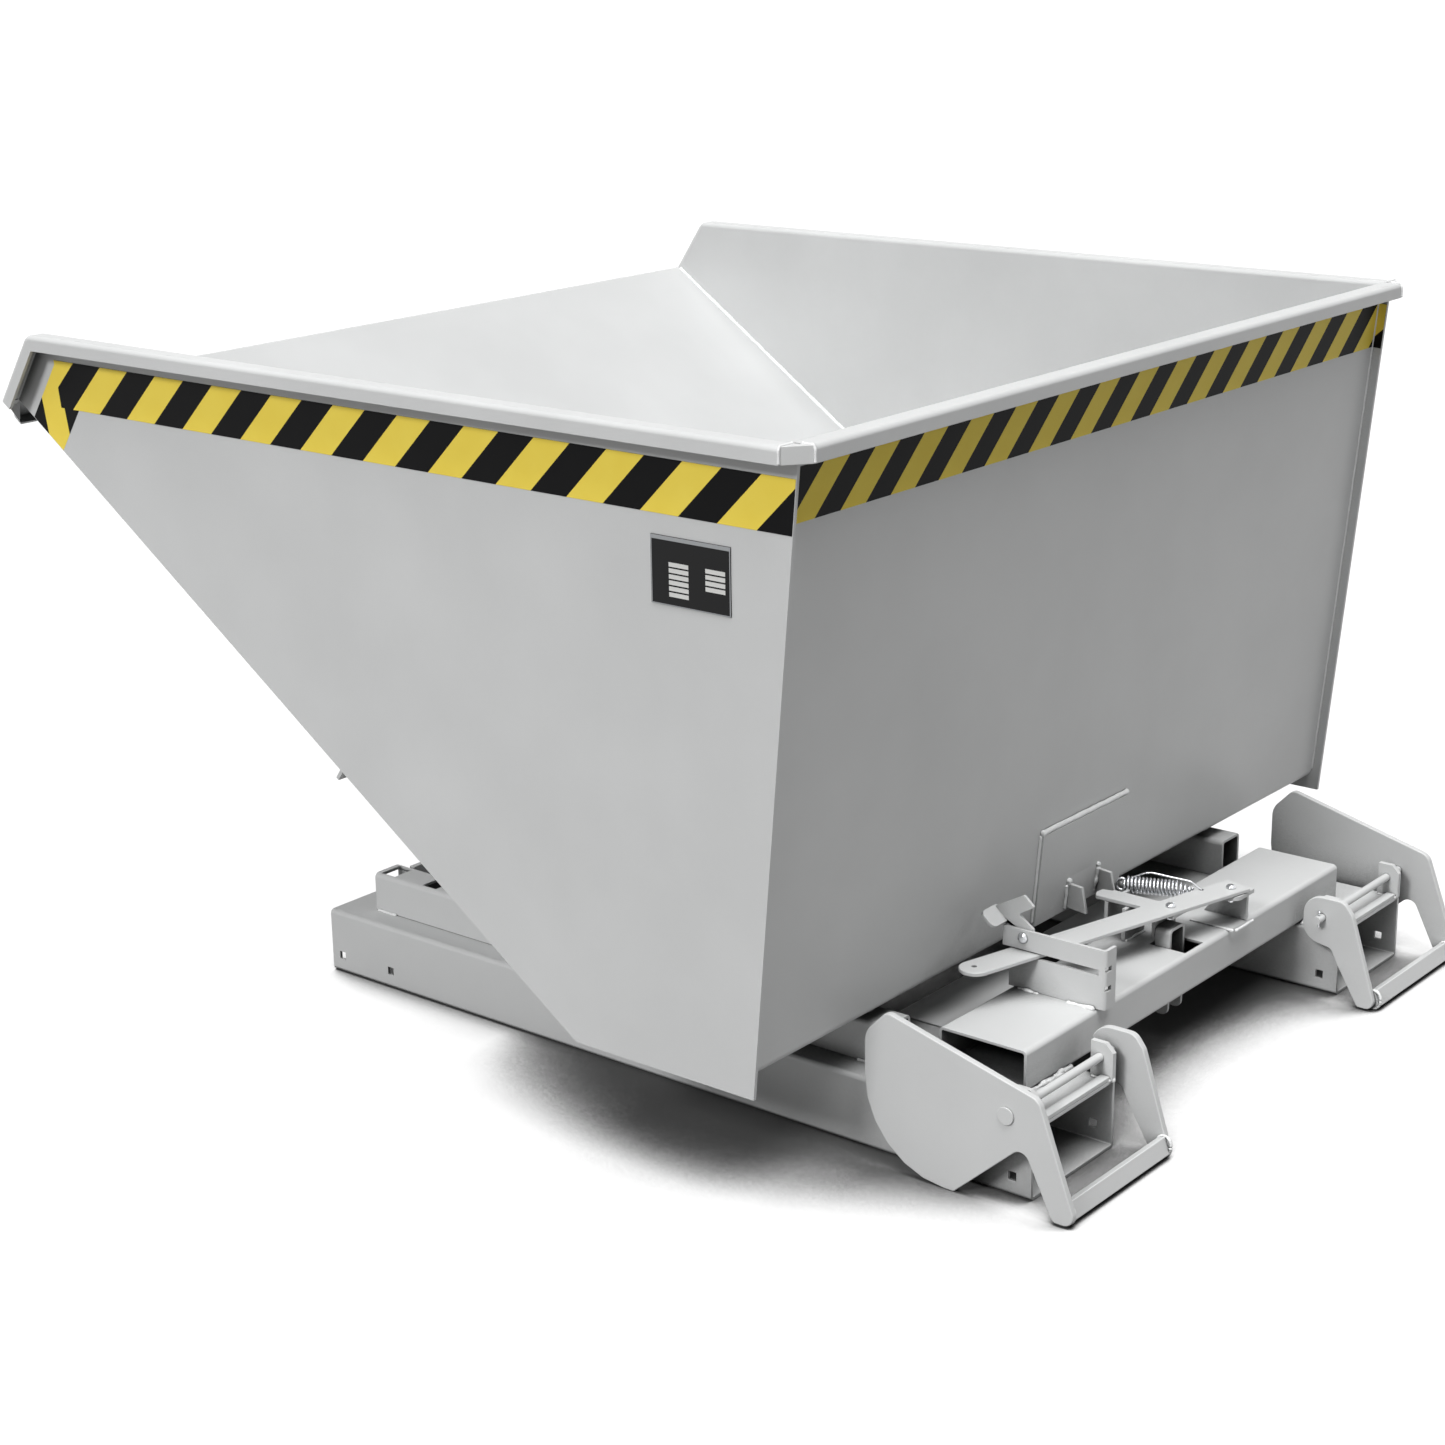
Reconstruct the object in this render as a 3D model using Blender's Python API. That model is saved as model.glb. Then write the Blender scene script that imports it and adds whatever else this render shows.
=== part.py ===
"""Roll-off tipping hopper for a fork-lift truck, in metres.

The hopper stands on toothed rockers that roll along two slotted tracks on a frame with
fork pockets. A sprung lever latches it, and swinging yokes lock the frame on the forks.
X runs across the hopper, +Y points to the side where the forks enter, and +Z is up. The
origin is on the ground, under the middle of the whole object.
"""

import math

import bmesh
import bpy
from mathutils import Vector

# Shared clearances and steps
clearance = 0.0003
overrun = 0.01
bend_steps = 4
plate_steps = 6
lever_steps = 8
round_steps = 24
hole_steps = 16
small_hole_steps = 12
dome_steps = 3
nut_sides = 6
sharp_edge = math.radians(35)
eased_edge = math.radians(50)
least_turn = math.radians(1)

# Hopper body
hopper_width = 1.51
side_sheet = 0.005
trough_sheet = 0.004
rim_z = 1.0
side_foot_z = 0.1553
side_foot_front_y = 0.2247
side_foot_rear_y = 0.5225
side_top_rear_y = 0.6006
rim_front_y = -0.7821
pouring_lip_y = -0.8517
pouring_lip_drop = 0.101
rim_width = 0.0282
rim_depth = 0.022
rim_round = 0.007
rim_corner_round = 0.018
rim_inner_round = 0.001
rim_root_depth = 0.03
rear_rim_y = 0.6197
corner_leg = 0.028
bottom_inset = 0.0217
slant_inset = 0.017
back_inset = 0.015
trough_bend = 0.012
lip_return = 0.05
lip_hem = 0.018

# Fork pockets
pocket_width = 0.2
pocket_height = 0.1
pocket_wall = 0.005
pocket_round = 0.007
pocket_inner_x = 0.319
pocket_front_y = -0.4987
pocket_rear_y = 0.7844
drain_side = 0.012
drain_height = 0.028
drain_setbacks = (0.022, 0.127, 1.254)
rear_strip_depth = 0.014
rear_strip_height = 0.006

# Roll tracks and the front cross member
track_width = 0.054
track_height = 0.06
track_wall = 0.005
track_round = 0.008
track_centre_x = 0.45
track_front_margin = 0.009
track_rear_y = 0.528
track_slots = 5
tooth_pitch = 0.088
slot_length = 0.028
slot_width = 0.04
cross_member_setback = 0.021
cross_member_sheet = 0.01

# Rockers under the hopper
rocker_radius = 0.3
rocker_plate = 0.012
rocker_contact_y = -0.034
arc_tail = 0.031
rocker_arc_steps = 36
runner_rear_y = 0.482
tooth_height = 0.011
tooth_base = 0.016
tooth_tip = 0.007
first_tooth_share = 0.352
carrier_round = 0.012

# Stiffener under the slanted floor
stiffener_y = -0.194
stiffener_depth = 0.044
stiffener_sheet = 0.006
stiffener_end_gap = 0.006

# Rear beam
beam_length = 0.868
beam_depth = 0.1375
beam_height = 0.06
beam_wall = 0.004
beam_round = 0.007
beam_front_y = 0.582
notch_left_x = -0.035
notch_right_x = 0.016
notch_front_y = 0.655
notch_rear_y = 0.713

# Latch lever, seen from above with its pivot as the origin
lever_pivot_x = -0.1195
lever_pivot_y = 0.708
lever_z = 0.21
lever_sheet = 0.006
lever_slant = math.radians(14.8)
lever_front_edge = 0.027
lever_rear_edge = 0.018
lever_reach = 0.484
lever_tail = 0.022
lever_bevel = 0.001
lever_end_share = 0.49
handle_hole = 0.004
handle_hole_offset = 0.0065
arm_offset_x = 0.123
arm_width = 0.033
arm_reach = 0.147
arm_nose = 0.012
arm_hook_reach = 0.129
hook_step = 0.006
hook_slant = 0.004
spring_hole = 0.0035
spring_hole_x = 0.0315
spring_hole_y = 0.03
tab_bolt_x = 0.116
tab_bolt_y = 0.032

# Guide bracket for the lever, on the rear beam
guide_sheet = 0.005
guide_x = 0.256
guide_z = 0.246
guide_top_front_y = 0.567
guide_foot_front_y = 0.578
guide_rear_y = 0.731
guide_flange = 0.0265
guide_bend = 0.006
guide_slot_below = 0.001
guide_slot_above = 0.0015
relief_height = 0.007
relief_depth = 0.008
relief_heights = (0.058, 0.03)
relief_round_share = 1 / 3
relief_sheet_share = 2 / 3

# Bolts
bolt_round = 0.004
bolt_head_round = 0.0075
bolt_head_height = 0.005
nut_round = 0.0075
nut_height = 0.0055
bolt_tail = 0.003
dome_share = 0.8

# Safety pawl beside the guide bracket
pawl_sheet = 0.0045
pawl_bolt_y = 0.6
pawl_bolt_z = 0.235
pawl_boss = 0.0135
pawl_length = 0.065
pawl_rise = 0.059
pawl_tab_width = 0.034
pawl_tab_setback = 0.0027
pawl_shares = (
    (-0.83, 0.52, 0.03),
    (-0.53, 0.24, 0.05),
    (-0.25, -0.16, 0.14),
    (0.08, -0.23, 0.2),
    (0.21, -0.02, 0.15),
    (0.19, 0.22, 0.04),
    (-0.19, 0.5, 0.06),
    (0.2, 0.76, 0.02),
    (-0.05, 1.0, 0.04),
)

# Pivot bracket of the lever
pivot_bracket_sheet = 0.006
pivot_leg_offset = 0.0335
pivot_leg_front = 0.057
pivot_flange_round = 0.02
pivot_corner_share = 0.9

# Plates under the latch arm
rest_sheet = 0.006
rest_left_x = -0.058
rest_right_x = 0.021
rest_setback = 0.0005
rest_ear_width = 0.016
rest_ear_rise = 0.0075
rest_ear_corner_share = 0.4
stop_plate_y = 0.617
stop_plate_left_x = -0.025
stop_plate_right_x = 0.03

# Trip strap through the rear beam and the tab that meets it
strap_left_x = -0.027
strap_right_x = 0.014
strap_sheet = 0.0045
strap_width = 0.024
strap_top_z = 0.188
strap_foot_z = 0.0575
strap_bend = 0.009
strap_pin_z = 0.118
strap_pin_y = 0.675
strap_pin_round = 0.005
strap_ear_sheet = 0.004
strap_ear_width = 0.026
strap_ear_rise = 0.026
strap_ear_corner_share = 0.45
strap_end_share = 0.4
strap_running = 0.0015
strap_hole_front_y = 0.644
strap_hole_rear_y = 0.692
tab_sheet = 0.005
tab_gap = 0.0013
tab_left_x = -0.045
tab_right_x = 0.014
tab_foot_z = 0.172
tab_bend = 0.007
tab_flange_depth = 0.034

# Tension spring of the lever
spring_wire = 0.0028
spring_coil_round = 0.0111
spring_pitch = 0.0047
spring_turns = 13
spring_turn_points = 10
spring_eye_x = -0.045
spring_eye_y = 0.571
spring_axis_z = 0.2165
spring_ear_reach = 0.0155
spring_body_start = 0.034
spring_hook_rise = 0.0122
spring_hook_drop = 0.012
spring_bend_round = 0.006
spring_eye_shares = ((1, 1), (0, 1), (-1, 0.94), (-1.7, 0.5), (-1, 0.06), (0, 0), (1, 0))
spring_start_shares = ((1, 0.35), (0.5, 0.75))
spring_end_share = 0.9
spring_hook_shares = ((1, 1), (0.33, 0.75), (0, 0.25))

# Catch on the rear wall of the hopper
doubler_sheet = 0.006
doubler_left_x = -0.13
doubler_right_x = 0.1
doubler_foot_z = 0.18
doubler_top_z = 0.32
cheek_sheet = 0.006
cheek_right_x = 0.015
cheek_left_x = -0.064
cheek_foot_z = 0.186
cheek_top_z = 0.224
cheek_top_reach = 0.024
cheek_foot_reach = 0.036
cheek_bevel = 0.00075
ramp_sheet = 0.005
ramp_drop = 0.034
ramp_reach = 0.028

# Name plate
name_plate_sheet = 0.0015
name_plate_length = 0.124
name_plate_height = 0.086
name_plate_rear_gap = 0.1024
name_plate_drop = 0.136

# Fork lock yokes
yoke_sheet = 0.01
yoke_bevel = 0.001
yoke_outer_x = 0.545
yoke_inner_x = 0.293
yoke_pin_y = 0.768
yoke_pin_z = 0.13
yoke_pin_round = 0.006
yoke_head_round = 0.012
yoke_head_height = 0.003
yoke_pin_tail = 0.008
split_pin_round = 0.0012
split_pin_length = 0.024
yoke_plate_length = 0.327
yoke_plate_height = 0.222
yoke_plate_front = 0.22
yoke_plate_shares = (
    (0.0, 0.0, 0.572),
    (0.434, 0.0, 0.018),
    (0.75, 0.422, 0.063),
    (0.89, 0.014, 0.036),
    (1.0, 0.014, 0.063),
    (0.816, 0.736, 0.09),
    (0.104, 1.0, 0.063),
    (0.0, 0.838, 0.135),
)
yoke_arm_length = 0.124
yoke_arm_height = 0.161
yoke_arm_front = 0.031
yoke_arm_shares = (
    (0.0, 0.571, 0.18),
    (0.379, 0.522, 0.062),
    (0.476, 0.373, 0.12),
    (0.758, 0.014, 0.037),
    (1.0, 0.014, 0.075),
    (0.637, 0.882, 0.137),
    (0.52, 1.0, 0.112),
    (0.0, 1.0, 0.18),
)
yoke_bar_depth = 0.012
yoke_bar_height = 0.025
yoke_bar_y = 0.853
yoke_bar_z = 0.0165
yoke_bar_slant = math.radians(20)
ear_sheet = 0.008
ear_outer_x = 0.505
ear_inner_x = 0.324
ear_front = 0.014
ear_rear = 0.02
ear_top_z = 0.151
ear_chamfer = 0.012

# Heights and places that follow from the sizes above
pocket_top_z = pocket_height
track_foot_z = pocket_top_z + clearance
track_top_z = track_foot_z + track_height
beam_foot_z = pocket_top_z + clearance
beam_top_z = beam_foot_z + beam_height
beam_seat_z = beam_top_z + clearance
beam_rear_y = beam_front_y + beam_depth
half_width = hopper_width / 2
pouring_lip_z = rim_z - pouring_lip_drop
name_plate_foot_z = rim_z - name_plate_drop - name_plate_height
first_tooth_reach = tooth_pitch * first_tooth_share
last_tooth_reach = first_tooth_reach + (track_slots - 1) * tooth_pitch
track_front_y = rocker_contact_y - last_tooth_reach - slot_length / 2 - track_front_margin
rocker_sweep = (last_tooth_reach + arc_tail) / rocker_radius
rocker_centre_z = track_top_z + clearance + rocker_radius
under_lever_z = lever_z - 2 * clearance
strap_front_y = strap_pin_y - strap_width / 2
strap_rear_y = strap_pin_y + strap_width / 2


def painted(name, colour, roughness, metallic=0.0):
    """One Principled material with the part's own colour."""
    made = bpy.data.materials.new(name)
    made.use_nodes = True
    shader = made.node_tree.nodes["Principled BSDF"]
    shader.inputs["Base Color"].default_value = (*colour, 1.0)
    shader.inputs["Roughness"].default_value = roughness
    shader.inputs["Metallic"].default_value = metallic
    return made


def rounded(points, closed=True, steps=bend_steps):
    """Each corner (a, b, radius) becomes an arc of that radius, and a radius of 0 stays sharp."""
    result = []
    last = len(points) - 1
    for index, (a, b, radius) in enumerate(points):
        corner = Vector((a, b))
        if radius == 0 or (not closed and index in (0, last)):
            result.append(corner)
            continue
        before = Vector(points[index - 1][:2])
        after = Vector(points[(index + 1) % len(points)][:2])
        into = (corner - before).normalized()
        out = (after - corner).normalized()
        turn = math.atan2(into.x * out.y - into.y * out.x, into.dot(out))
        if abs(turn) < least_turn:
            result.append(corner)
            continue
        start = corner - into * radius * math.tan(abs(turn) / 2)
        side = math.copysign(1, turn)
        centre = start + Vector((-into.y, into.x)) * side * radius
        arm = start - centre
        for step in range(steps + 1):
            angle = turn * step / steps
            swung = (
                arm.x * math.cos(angle) - arm.y * math.sin(angle),
                arm.x * math.sin(angle) + arm.y * math.cos(angle),
            )
            result.append(centre + Vector(swung))
    return result


def shifted(path, distance):
    """The open path moved to its left by the distance, with mitred corners."""
    ways = [(b - a).normalized() for a, b in zip(path, path[1:])]
    sides = [Vector((-way.y, way.x)) for way in ways]
    result = []
    for index, point in enumerate(path):
        before = sides[max(index - 1, 0)]
        after = sides[min(index, len(sides) - 1)]
        result.append(point + (before + after) * distance / (1 + before.dot(after)))
    return result


def strip(path, sheet):
    """The outline of a bent sheet whose right face follows the path."""
    return path + shifted(path, sheet)[::-1]


def meeting(point_a, way_a, point_b, way_b):
    """Where two straight lines of the plane cross."""
    across = way_a.x * way_b.y - way_a.y * way_b.x
    between = point_b - point_a
    reach = (between.x * way_b.y - between.y * way_b.x) / across
    return point_a + way_a * reach


def circle(a, b, radius, steps=round_steps):
    """A round outline about the point (a, b)."""
    turns = [math.tau * step / steps for step in range(steps)]
    return [Vector((a + radius * math.cos(t), b + radius * math.sin(t))) for t in turns]


def rectangle(a_low, b_low, a_high, b_high, radius=0.0):
    """An upright rectangle, its corners rounded where a radius is given."""
    corners = ((a_low, b_low), (a_high, b_low), (a_high, b_high), (a_low, b_high))
    return rounded([(a, b, radius) for a, b in corners])


def in_space(axis, along, a, b):
    """A point of an outline that is drawn square to the axis, at a place along it."""
    if axis == "X":
        return Vector((along, a, b))
    if axis == "Y":
        return Vector((a, along, b))
    return Vector((a, b, along))


def finished(name, mesh, material, parent=None):
    """Turns a bmesh of world places into an object, riding on its parent empty."""
    bmesh.ops.recalc_face_normals(mesh, faces=mesh.faces)
    data = bpy.data.meshes.new(name)
    mesh.to_mesh(data)
    mesh.free()
    data.shade_smooth()
    data.set_sharp_from_angle(angle=sharp_edge)
    made = bpy.data.objects.new(name, data)
    if material:
        data.materials.append(material)
    if parent:
        made.parent = parent
        made.location = -parent.location
    bpy.context.scene.collection.objects.link(made)
    return made


def prism(name, outline, axis, low, high, material=None, parent=None):
    """A closed outline pulled along an axis from one place to another."""
    mesh = bmesh.new()
    ends = [
        [mesh.verts.new(in_space(axis, along, a, b)) for a, b in outline] for along in (low, high)
    ]
    mesh.faces.new(ends[0])
    mesh.faces.new(ends[1])
    for index in range(len(outline)):
        following = (index + 1) % len(outline)
        mesh.faces.new((ends[0][index], ends[0][following], ends[1][following], ends[1][index]))
    return finished(name, mesh, material, parent)


def tube(name, outer, inner, axis, low, high, material, parent=None):
    """A hollow section with open ends. Both outlines have as many points."""
    mesh = bmesh.new()
    rings = [
        [mesh.verts.new(in_space(axis, along, a, b)) for a, b in outline]
        for outline, along in ((outer, low), (outer, high), (inner, high), (inner, low))
    ]
    count = len(outer)
    for ring, following in zip(rings, rings[1:] + rings[:1]):
        for index in range(count):
            after = (index + 1) % count
            mesh.faces.new((ring[index], ring[after], following[after], following[index]))
    return finished(name, mesh, material, parent)


def turned(name, profile, centre, axis, material, parent=None, steps=round_steps):
    """A solid of revolution. The profile has (place along the axis, radius) pairs, ends closed."""
    mesh = bmesh.new()
    rings = []
    for along, radius in profile:
        outline = circle(centre[0], centre[1], radius, steps)
        rings.append([mesh.verts.new(in_space(axis, along, a, b)) for a, b in outline])
    for ring, following in zip(rings, rings[1:]):
        for index in range(steps):
            after = (index + 1) % steps
            mesh.faces.new((ring[index], ring[after], following[after], following[index]))
    mesh.faces.new(rings[0])
    mesh.faces.new(rings[-1])
    return finished(name, mesh, material, parent)


def combine(target, tool, operation, solver="EXACT"):
    """Adds a Boolean step and keeps its tool out of the render."""
    tool.hide_render = True
    tool.display_type = "WIRE"
    step = target.modifiers.new(tool.name, "BOOLEAN")
    step.operation = operation
    step.solver = solver
    step.object = tool


def cut(target, outline, axis, low, high):
    """Cuts a prism out of the target."""
    tool = prism(f"{target.name}_cut_{len(target.modifiers)}", outline, axis, low, high)
    combine(target, tool, "DIFFERENCE")


def fuse(target, tool, solver="EXACT"):
    """Joins another solid to the target as one piece."""
    combine(target, tool, "UNION", solver)


def eased(target, width):
    """Breaks the sharp edges of a cut plate."""
    step = target.modifiers.new("eased_edges", "BEVEL")
    step.width = width
    step.segments = 1
    step.limit_method = "ANGLE"
    step.angle_limit = eased_edge


def from_shares(shares, start, size):
    """Corner points, given as shares of a piece's length and height, in real sizes."""
    return [(start[0] + a * size[0], start[1] + b * size[1], r * size[1]) for a, b, r in shares]


def axis_empty(name, place):
    """An empty on a joint's axis, which the pieces of a moving body hang from."""
    made = bpy.data.objects.new(name, None)
    made.location = place
    bpy.context.scene.collection.objects.link(made)
    return made


def fork_pocket(name, side):
    """One hollow section that a fork enters, with small square drain holes in its sides."""
    low, high = sorted((side * pocket_inner_x, side * (pocket_inner_x + pocket_width)))
    outer = rectangle(low, 0, high, pocket_height, pocket_round)
    inner_round = pocket_round - pocket_wall
    inner = rectangle(
        low + pocket_wall,
        pocket_wall,
        high - pocket_wall,
        pocket_height - pocket_wall,
        inner_round,
    )
    made = tube(name, outer, inner, "Y", pocket_front_y, pocket_rear_y, paint)
    half = drain_side / 2
    for setback in drain_setbacks:
        y = pocket_front_y + setback
        hole = rectangle(y - half, drain_height - half, y + half, drain_height + half)
        cut(made, hole, "X", low - overrun, high + overrun)
    return made


def roll_track(name, side):
    """A bent channel, open below, whose slots take the teeth of the rocker."""
    centre = side * track_centre_x
    low = centre - track_width / 2
    high = centre + track_width / 2
    path = rounded(
        [
            (high, track_foot_z, 0),
            (high, track_top_z, track_round),
            (low, track_top_z, track_round),
            (low, track_foot_z, 0),
        ],
        closed=False,
    )
    made = prism(name, strip(path, track_wall), "Y", track_front_y, track_rear_y, paint)
    for number in range(track_slots):
        y = rocker_contact_y - first_tooth_reach - number * tooth_pitch
        slot = rectangle(
            centre - slot_width / 2,
            y - slot_length / 2,
            centre + slot_width / 2,
            y + slot_length / 2,
        )
        cut(made, slot, "Z", track_top_z - track_wall - overrun, track_top_z + overrun)
    return made


def front_cross_member():
    """The upright plate that joins the tracks at their front."""
    half = track_centre_x - track_width / 2 - clearance
    y = track_front_y + cross_member_setback
    outline = rectangle(-half, track_foot_z, half, track_top_z)
    return prism("front_cross_member", outline, "Y", y, y + cross_member_sheet, paint)


def rear_beam():
    """The hollow section across the pockets, notched for the trip strap."""
    half = beam_length / 2
    outer = rectangle(beam_front_y, beam_foot_z, beam_rear_y, beam_top_z, beam_round)
    inner = rectangle(
        beam_front_y + beam_wall,
        beam_foot_z + beam_wall,
        beam_rear_y - beam_wall,
        beam_top_z - beam_wall,
        beam_round - beam_wall,
    )
    made = tube("rear_beam", outer, inner, "X", -half, half, paint)
    notch = rectangle(notch_left_x, notch_front_y, notch_right_x, notch_rear_y)
    cut(made, notch, "Z", beam_top_z - beam_wall - overrun, beam_top_z + overrun)
    hole = rectangle(
        strap_left_x - strap_running,
        strap_hole_front_y,
        strap_right_x + strap_running,
        strap_hole_rear_y,
    )
    cut(made, hole, "Z", beam_foot_z - overrun, beam_foot_z + beam_wall + overrun)
    return made


def pocket_strip(name, side):
    """The welded strip that stiffens the mouth of a pocket, between the two ears."""
    inner = ear_inner_x + ear_sheet + clearance
    outer = ear_outer_x - clearance
    low, high = sorted((side * inner, side * outer))
    outline = rectangle(
        pocket_rear_y - rear_strip_depth,
        pocket_top_z + clearance,
        pocket_rear_y,
        pocket_top_z + clearance + rear_strip_height,
    )
    return prism(name, outline, "X", low, high, paint)


def yoke_ear(name, side, inner_x):
    """An upright ear on the pocket that carries the yoke's pin."""
    foot = pocket_top_z + clearance
    front = yoke_pin_y - ear_front
    rear = yoke_pin_y + ear_rear
    outline = rounded(
        [
            (front, foot, 0),
            (rear, foot, 0),
            (rear, ear_top_z - ear_chamfer, 0),
            (rear - ear_chamfer, ear_top_z, 0),
            (front, ear_top_z, 0),
        ]
    )
    low, high = sorted((side * inner_x, side * (inner_x + ear_sheet)))
    made = prism(name, outline, "X", low, high, paint)
    hole = circle(yoke_pin_y, yoke_pin_z, yoke_pin_round + clearance)
    cut(made, hole, "X", low - overrun, high + overrun)
    return made


def yoke_pin(name, side):
    """The pin through both ears and both arms, with a flat head outside."""
    head = side * (yoke_outer_x + yoke_sheet + clearance)
    tip = side * (yoke_inner_x - yoke_pin_tail - yoke_sheet)
    profile = (
        (tip, yoke_pin_round),
        (head, yoke_pin_round),
        (head, yoke_head_round),
        (head + side * yoke_head_height, yoke_head_round),
    )
    made = turned(name, profile, (yoke_pin_y, yoke_pin_z), "X", zinc)
    hole = circle(tip + side * yoke_pin_tail, yoke_pin_y, split_pin_round + clearance)
    reach = yoke_pin_round + overrun
    cut(made, hole, "Z", yoke_pin_z - reach, yoke_pin_z + reach)
    return made


def split_pin(name, side):
    """The split pin that holds the yoke's pin at its inner end."""
    x = side * (yoke_inner_x - yoke_sheet)
    half = split_pin_length / 2
    profile = (
        (yoke_pin_z - half, split_pin_round),
        (yoke_pin_z + half - split_pin_round, split_pin_round),
        (yoke_pin_z + half - split_pin_round, 2 * split_pin_round),
        (yoke_pin_z + half + split_pin_round, 2 * split_pin_round),
    )
    return turned(name, profile, (x, yoke_pin_y), "Z", zinc, steps=small_hole_steps)


def yoke(name, side):
    """A fork lock: an outer plate, an inner arm and the bar between them, on one pin."""
    hinge = axis_empty(f"{name}_axis", (side * yoke_outer_x, yoke_pin_y, yoke_pin_z))
    hole = circle(yoke_pin_y, yoke_pin_z, yoke_pin_round + clearance)
    sheets = (
        ("plate", yoke_outer_x, yoke_plate_shares, yoke_plate_front, plate_size),
        ("arm", yoke_inner_x, yoke_arm_shares, yoke_arm_front, arm_size),
    )
    for word, inner_x, shares, front, size in sheets:
        outline = rounded(from_shares(shares, (yoke_pin_y - front, 0), size), steps=plate_steps)
        low, high = sorted((side * inner_x, side * (inner_x + yoke_sheet)))
        made = prism(f"{name}_{word}", outline, "X", low, high, paint, hinge)
        eased(made, yoke_bevel)
        cut(made, hole, "X", low - overrun, high + overrun)
    along = Vector((-math.sin(yoke_bar_slant), math.cos(yoke_bar_slant))) * yoke_bar_height / 2
    across = Vector((math.cos(yoke_bar_slant), math.sin(yoke_bar_slant))) * yoke_bar_depth / 2
    centre = Vector((yoke_bar_y, yoke_bar_z))
    outline = [
        centre - along - across,
        centre - along + across,
        centre + along + across,
        centre + along - across,
    ]
    inner = yoke_inner_x + yoke_sheet + clearance
    outer = yoke_outer_x - clearance
    low, high = sorted((side * inner, side * outer))
    eased(prism(f"{name}_bar", outline, "X", low, high, paint, hinge), yoke_bevel)


def bolt(name, centre, axis, head_from, way, grip, material, parent=None):
    """A bolt with a domed head. Its head starts at head_from and the shank runs against way."""
    dome = [
        (
            head_from + way * bolt_head_height * math.sin(math.pi / 2 * step / dome_steps),
            bolt_head_round * math.cos(math.pi / 2 * step / dome_steps * dome_share),
        )
        for step in range(dome_steps + 1)
    ]
    tip = head_from - way * (grip + nut_height + bolt_tail)
    profile = [(tip, bolt_round), (head_from, bolt_round), *dome]
    return turned(name, profile, centre, axis, material, parent, steps=hole_steps)


def nut(name, centre, axis, face, way, material, parent=None):
    """A hexagon nut, bored for its bolt. Its face lies on the sheet and it grows along way."""
    low, high = sorted((face, face + way * nut_height))
    made = prism(name, circle(*centre, nut_round, nut_sides), axis, low, high, material, parent)
    cut(made, circle(*centre, bolt_round + clearance), axis, low - overrun, high + overrun)
    return made


def guide_bracket():
    """The upright sheet with a long open slot that the lever slides in."""
    slot_low = lever_z - guide_slot_below
    slot_high = lever_z + lever_sheet + guide_slot_above
    slot_end = guide_rear_y - guide_sheet - guide_bend
    outline = rounded(
        [
            (guide_foot_front_y, beam_seat_z, 0),
            (guide_rear_y - guide_bend, beam_seat_z, 0),
            (guide_rear_y - guide_bend, guide_z, 0),
            (guide_top_front_y, guide_z, 0),
            (guide_top_front_y, slot_high, 0),
            (slot_end, slot_high, 0),
            (slot_end, slot_low, 0),
            (guide_foot_front_y, slot_low, 0),
        ]
    )
    made = prism("guide_bracket", outline, "X", guide_x, guide_x + guide_sheet, paint)
    path = rounded(
        [
            (guide_x + guide_sheet, guide_rear_y - guide_bend - guide_sheet, 0),
            (guide_x + guide_sheet, guide_rear_y, guide_bend),
            (guide_x + guide_sheet - guide_flange, guide_rear_y, 0),
        ],
        closed=False,
    )
    fuse(made, prism("guide_flange", strip(path, guide_sheet), "Z", beam_seat_z, guide_z))
    for height in relief_heights:
        z = beam_seat_z + height
        slit = rectangle(
            guide_rear_y - relief_depth,
            z - relief_height / 2,
            guide_rear_y + overrun,
            z + relief_height / 2,
            relief_height * relief_round_share,
        )
        cut(made, slit, "X", guide_x - overrun, guide_x + guide_sheet * relief_sheet_share)
    hole = circle(pawl_bolt_y, pawl_bolt_z, bolt_round + clearance)
    cut(made, hole, "X", guide_x - overrun, guide_x + guide_sheet + overrun)
    return made


def safety_pawl():
    """The hand-flipped pawl beside the guide, with a folded thumb tab and a hooked nose."""
    hinge = axis_empty("pawl_axis", (guide_x, pawl_bolt_y, pawl_bolt_z))
    low = guide_x - clearance - pawl_sheet
    corners = from_shares(pawl_shares, (pawl_bolt_y, pawl_bolt_z), (pawl_length, pawl_rise))
    made = prism("safety_pawl", rounded(corners), "X", low, low + pawl_sheet, paint, hinge)
    tip = Vector(corners[0][:2])
    fold = Vector(corners[1][:2])
    way = (fold - tip).normalized()
    inward = Vector((-way.y, way.x))
    near = inward * clearance
    far = inward * pawl_sheet
    start = tip + way * pawl_tab_setback
    end = fold - way * clearance
    tab = [start + near, end + near, end + far, start + far]
    fuse(made, prism("pawl_tab", tab, "X", low + pawl_sheet / 2, low + pawl_tab_width))
    hole = circle(pawl_bolt_y, pawl_bolt_z, bolt_round + clearance)
    cut(made, hole, "X", low - overrun, guide_x)
    return made


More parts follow.
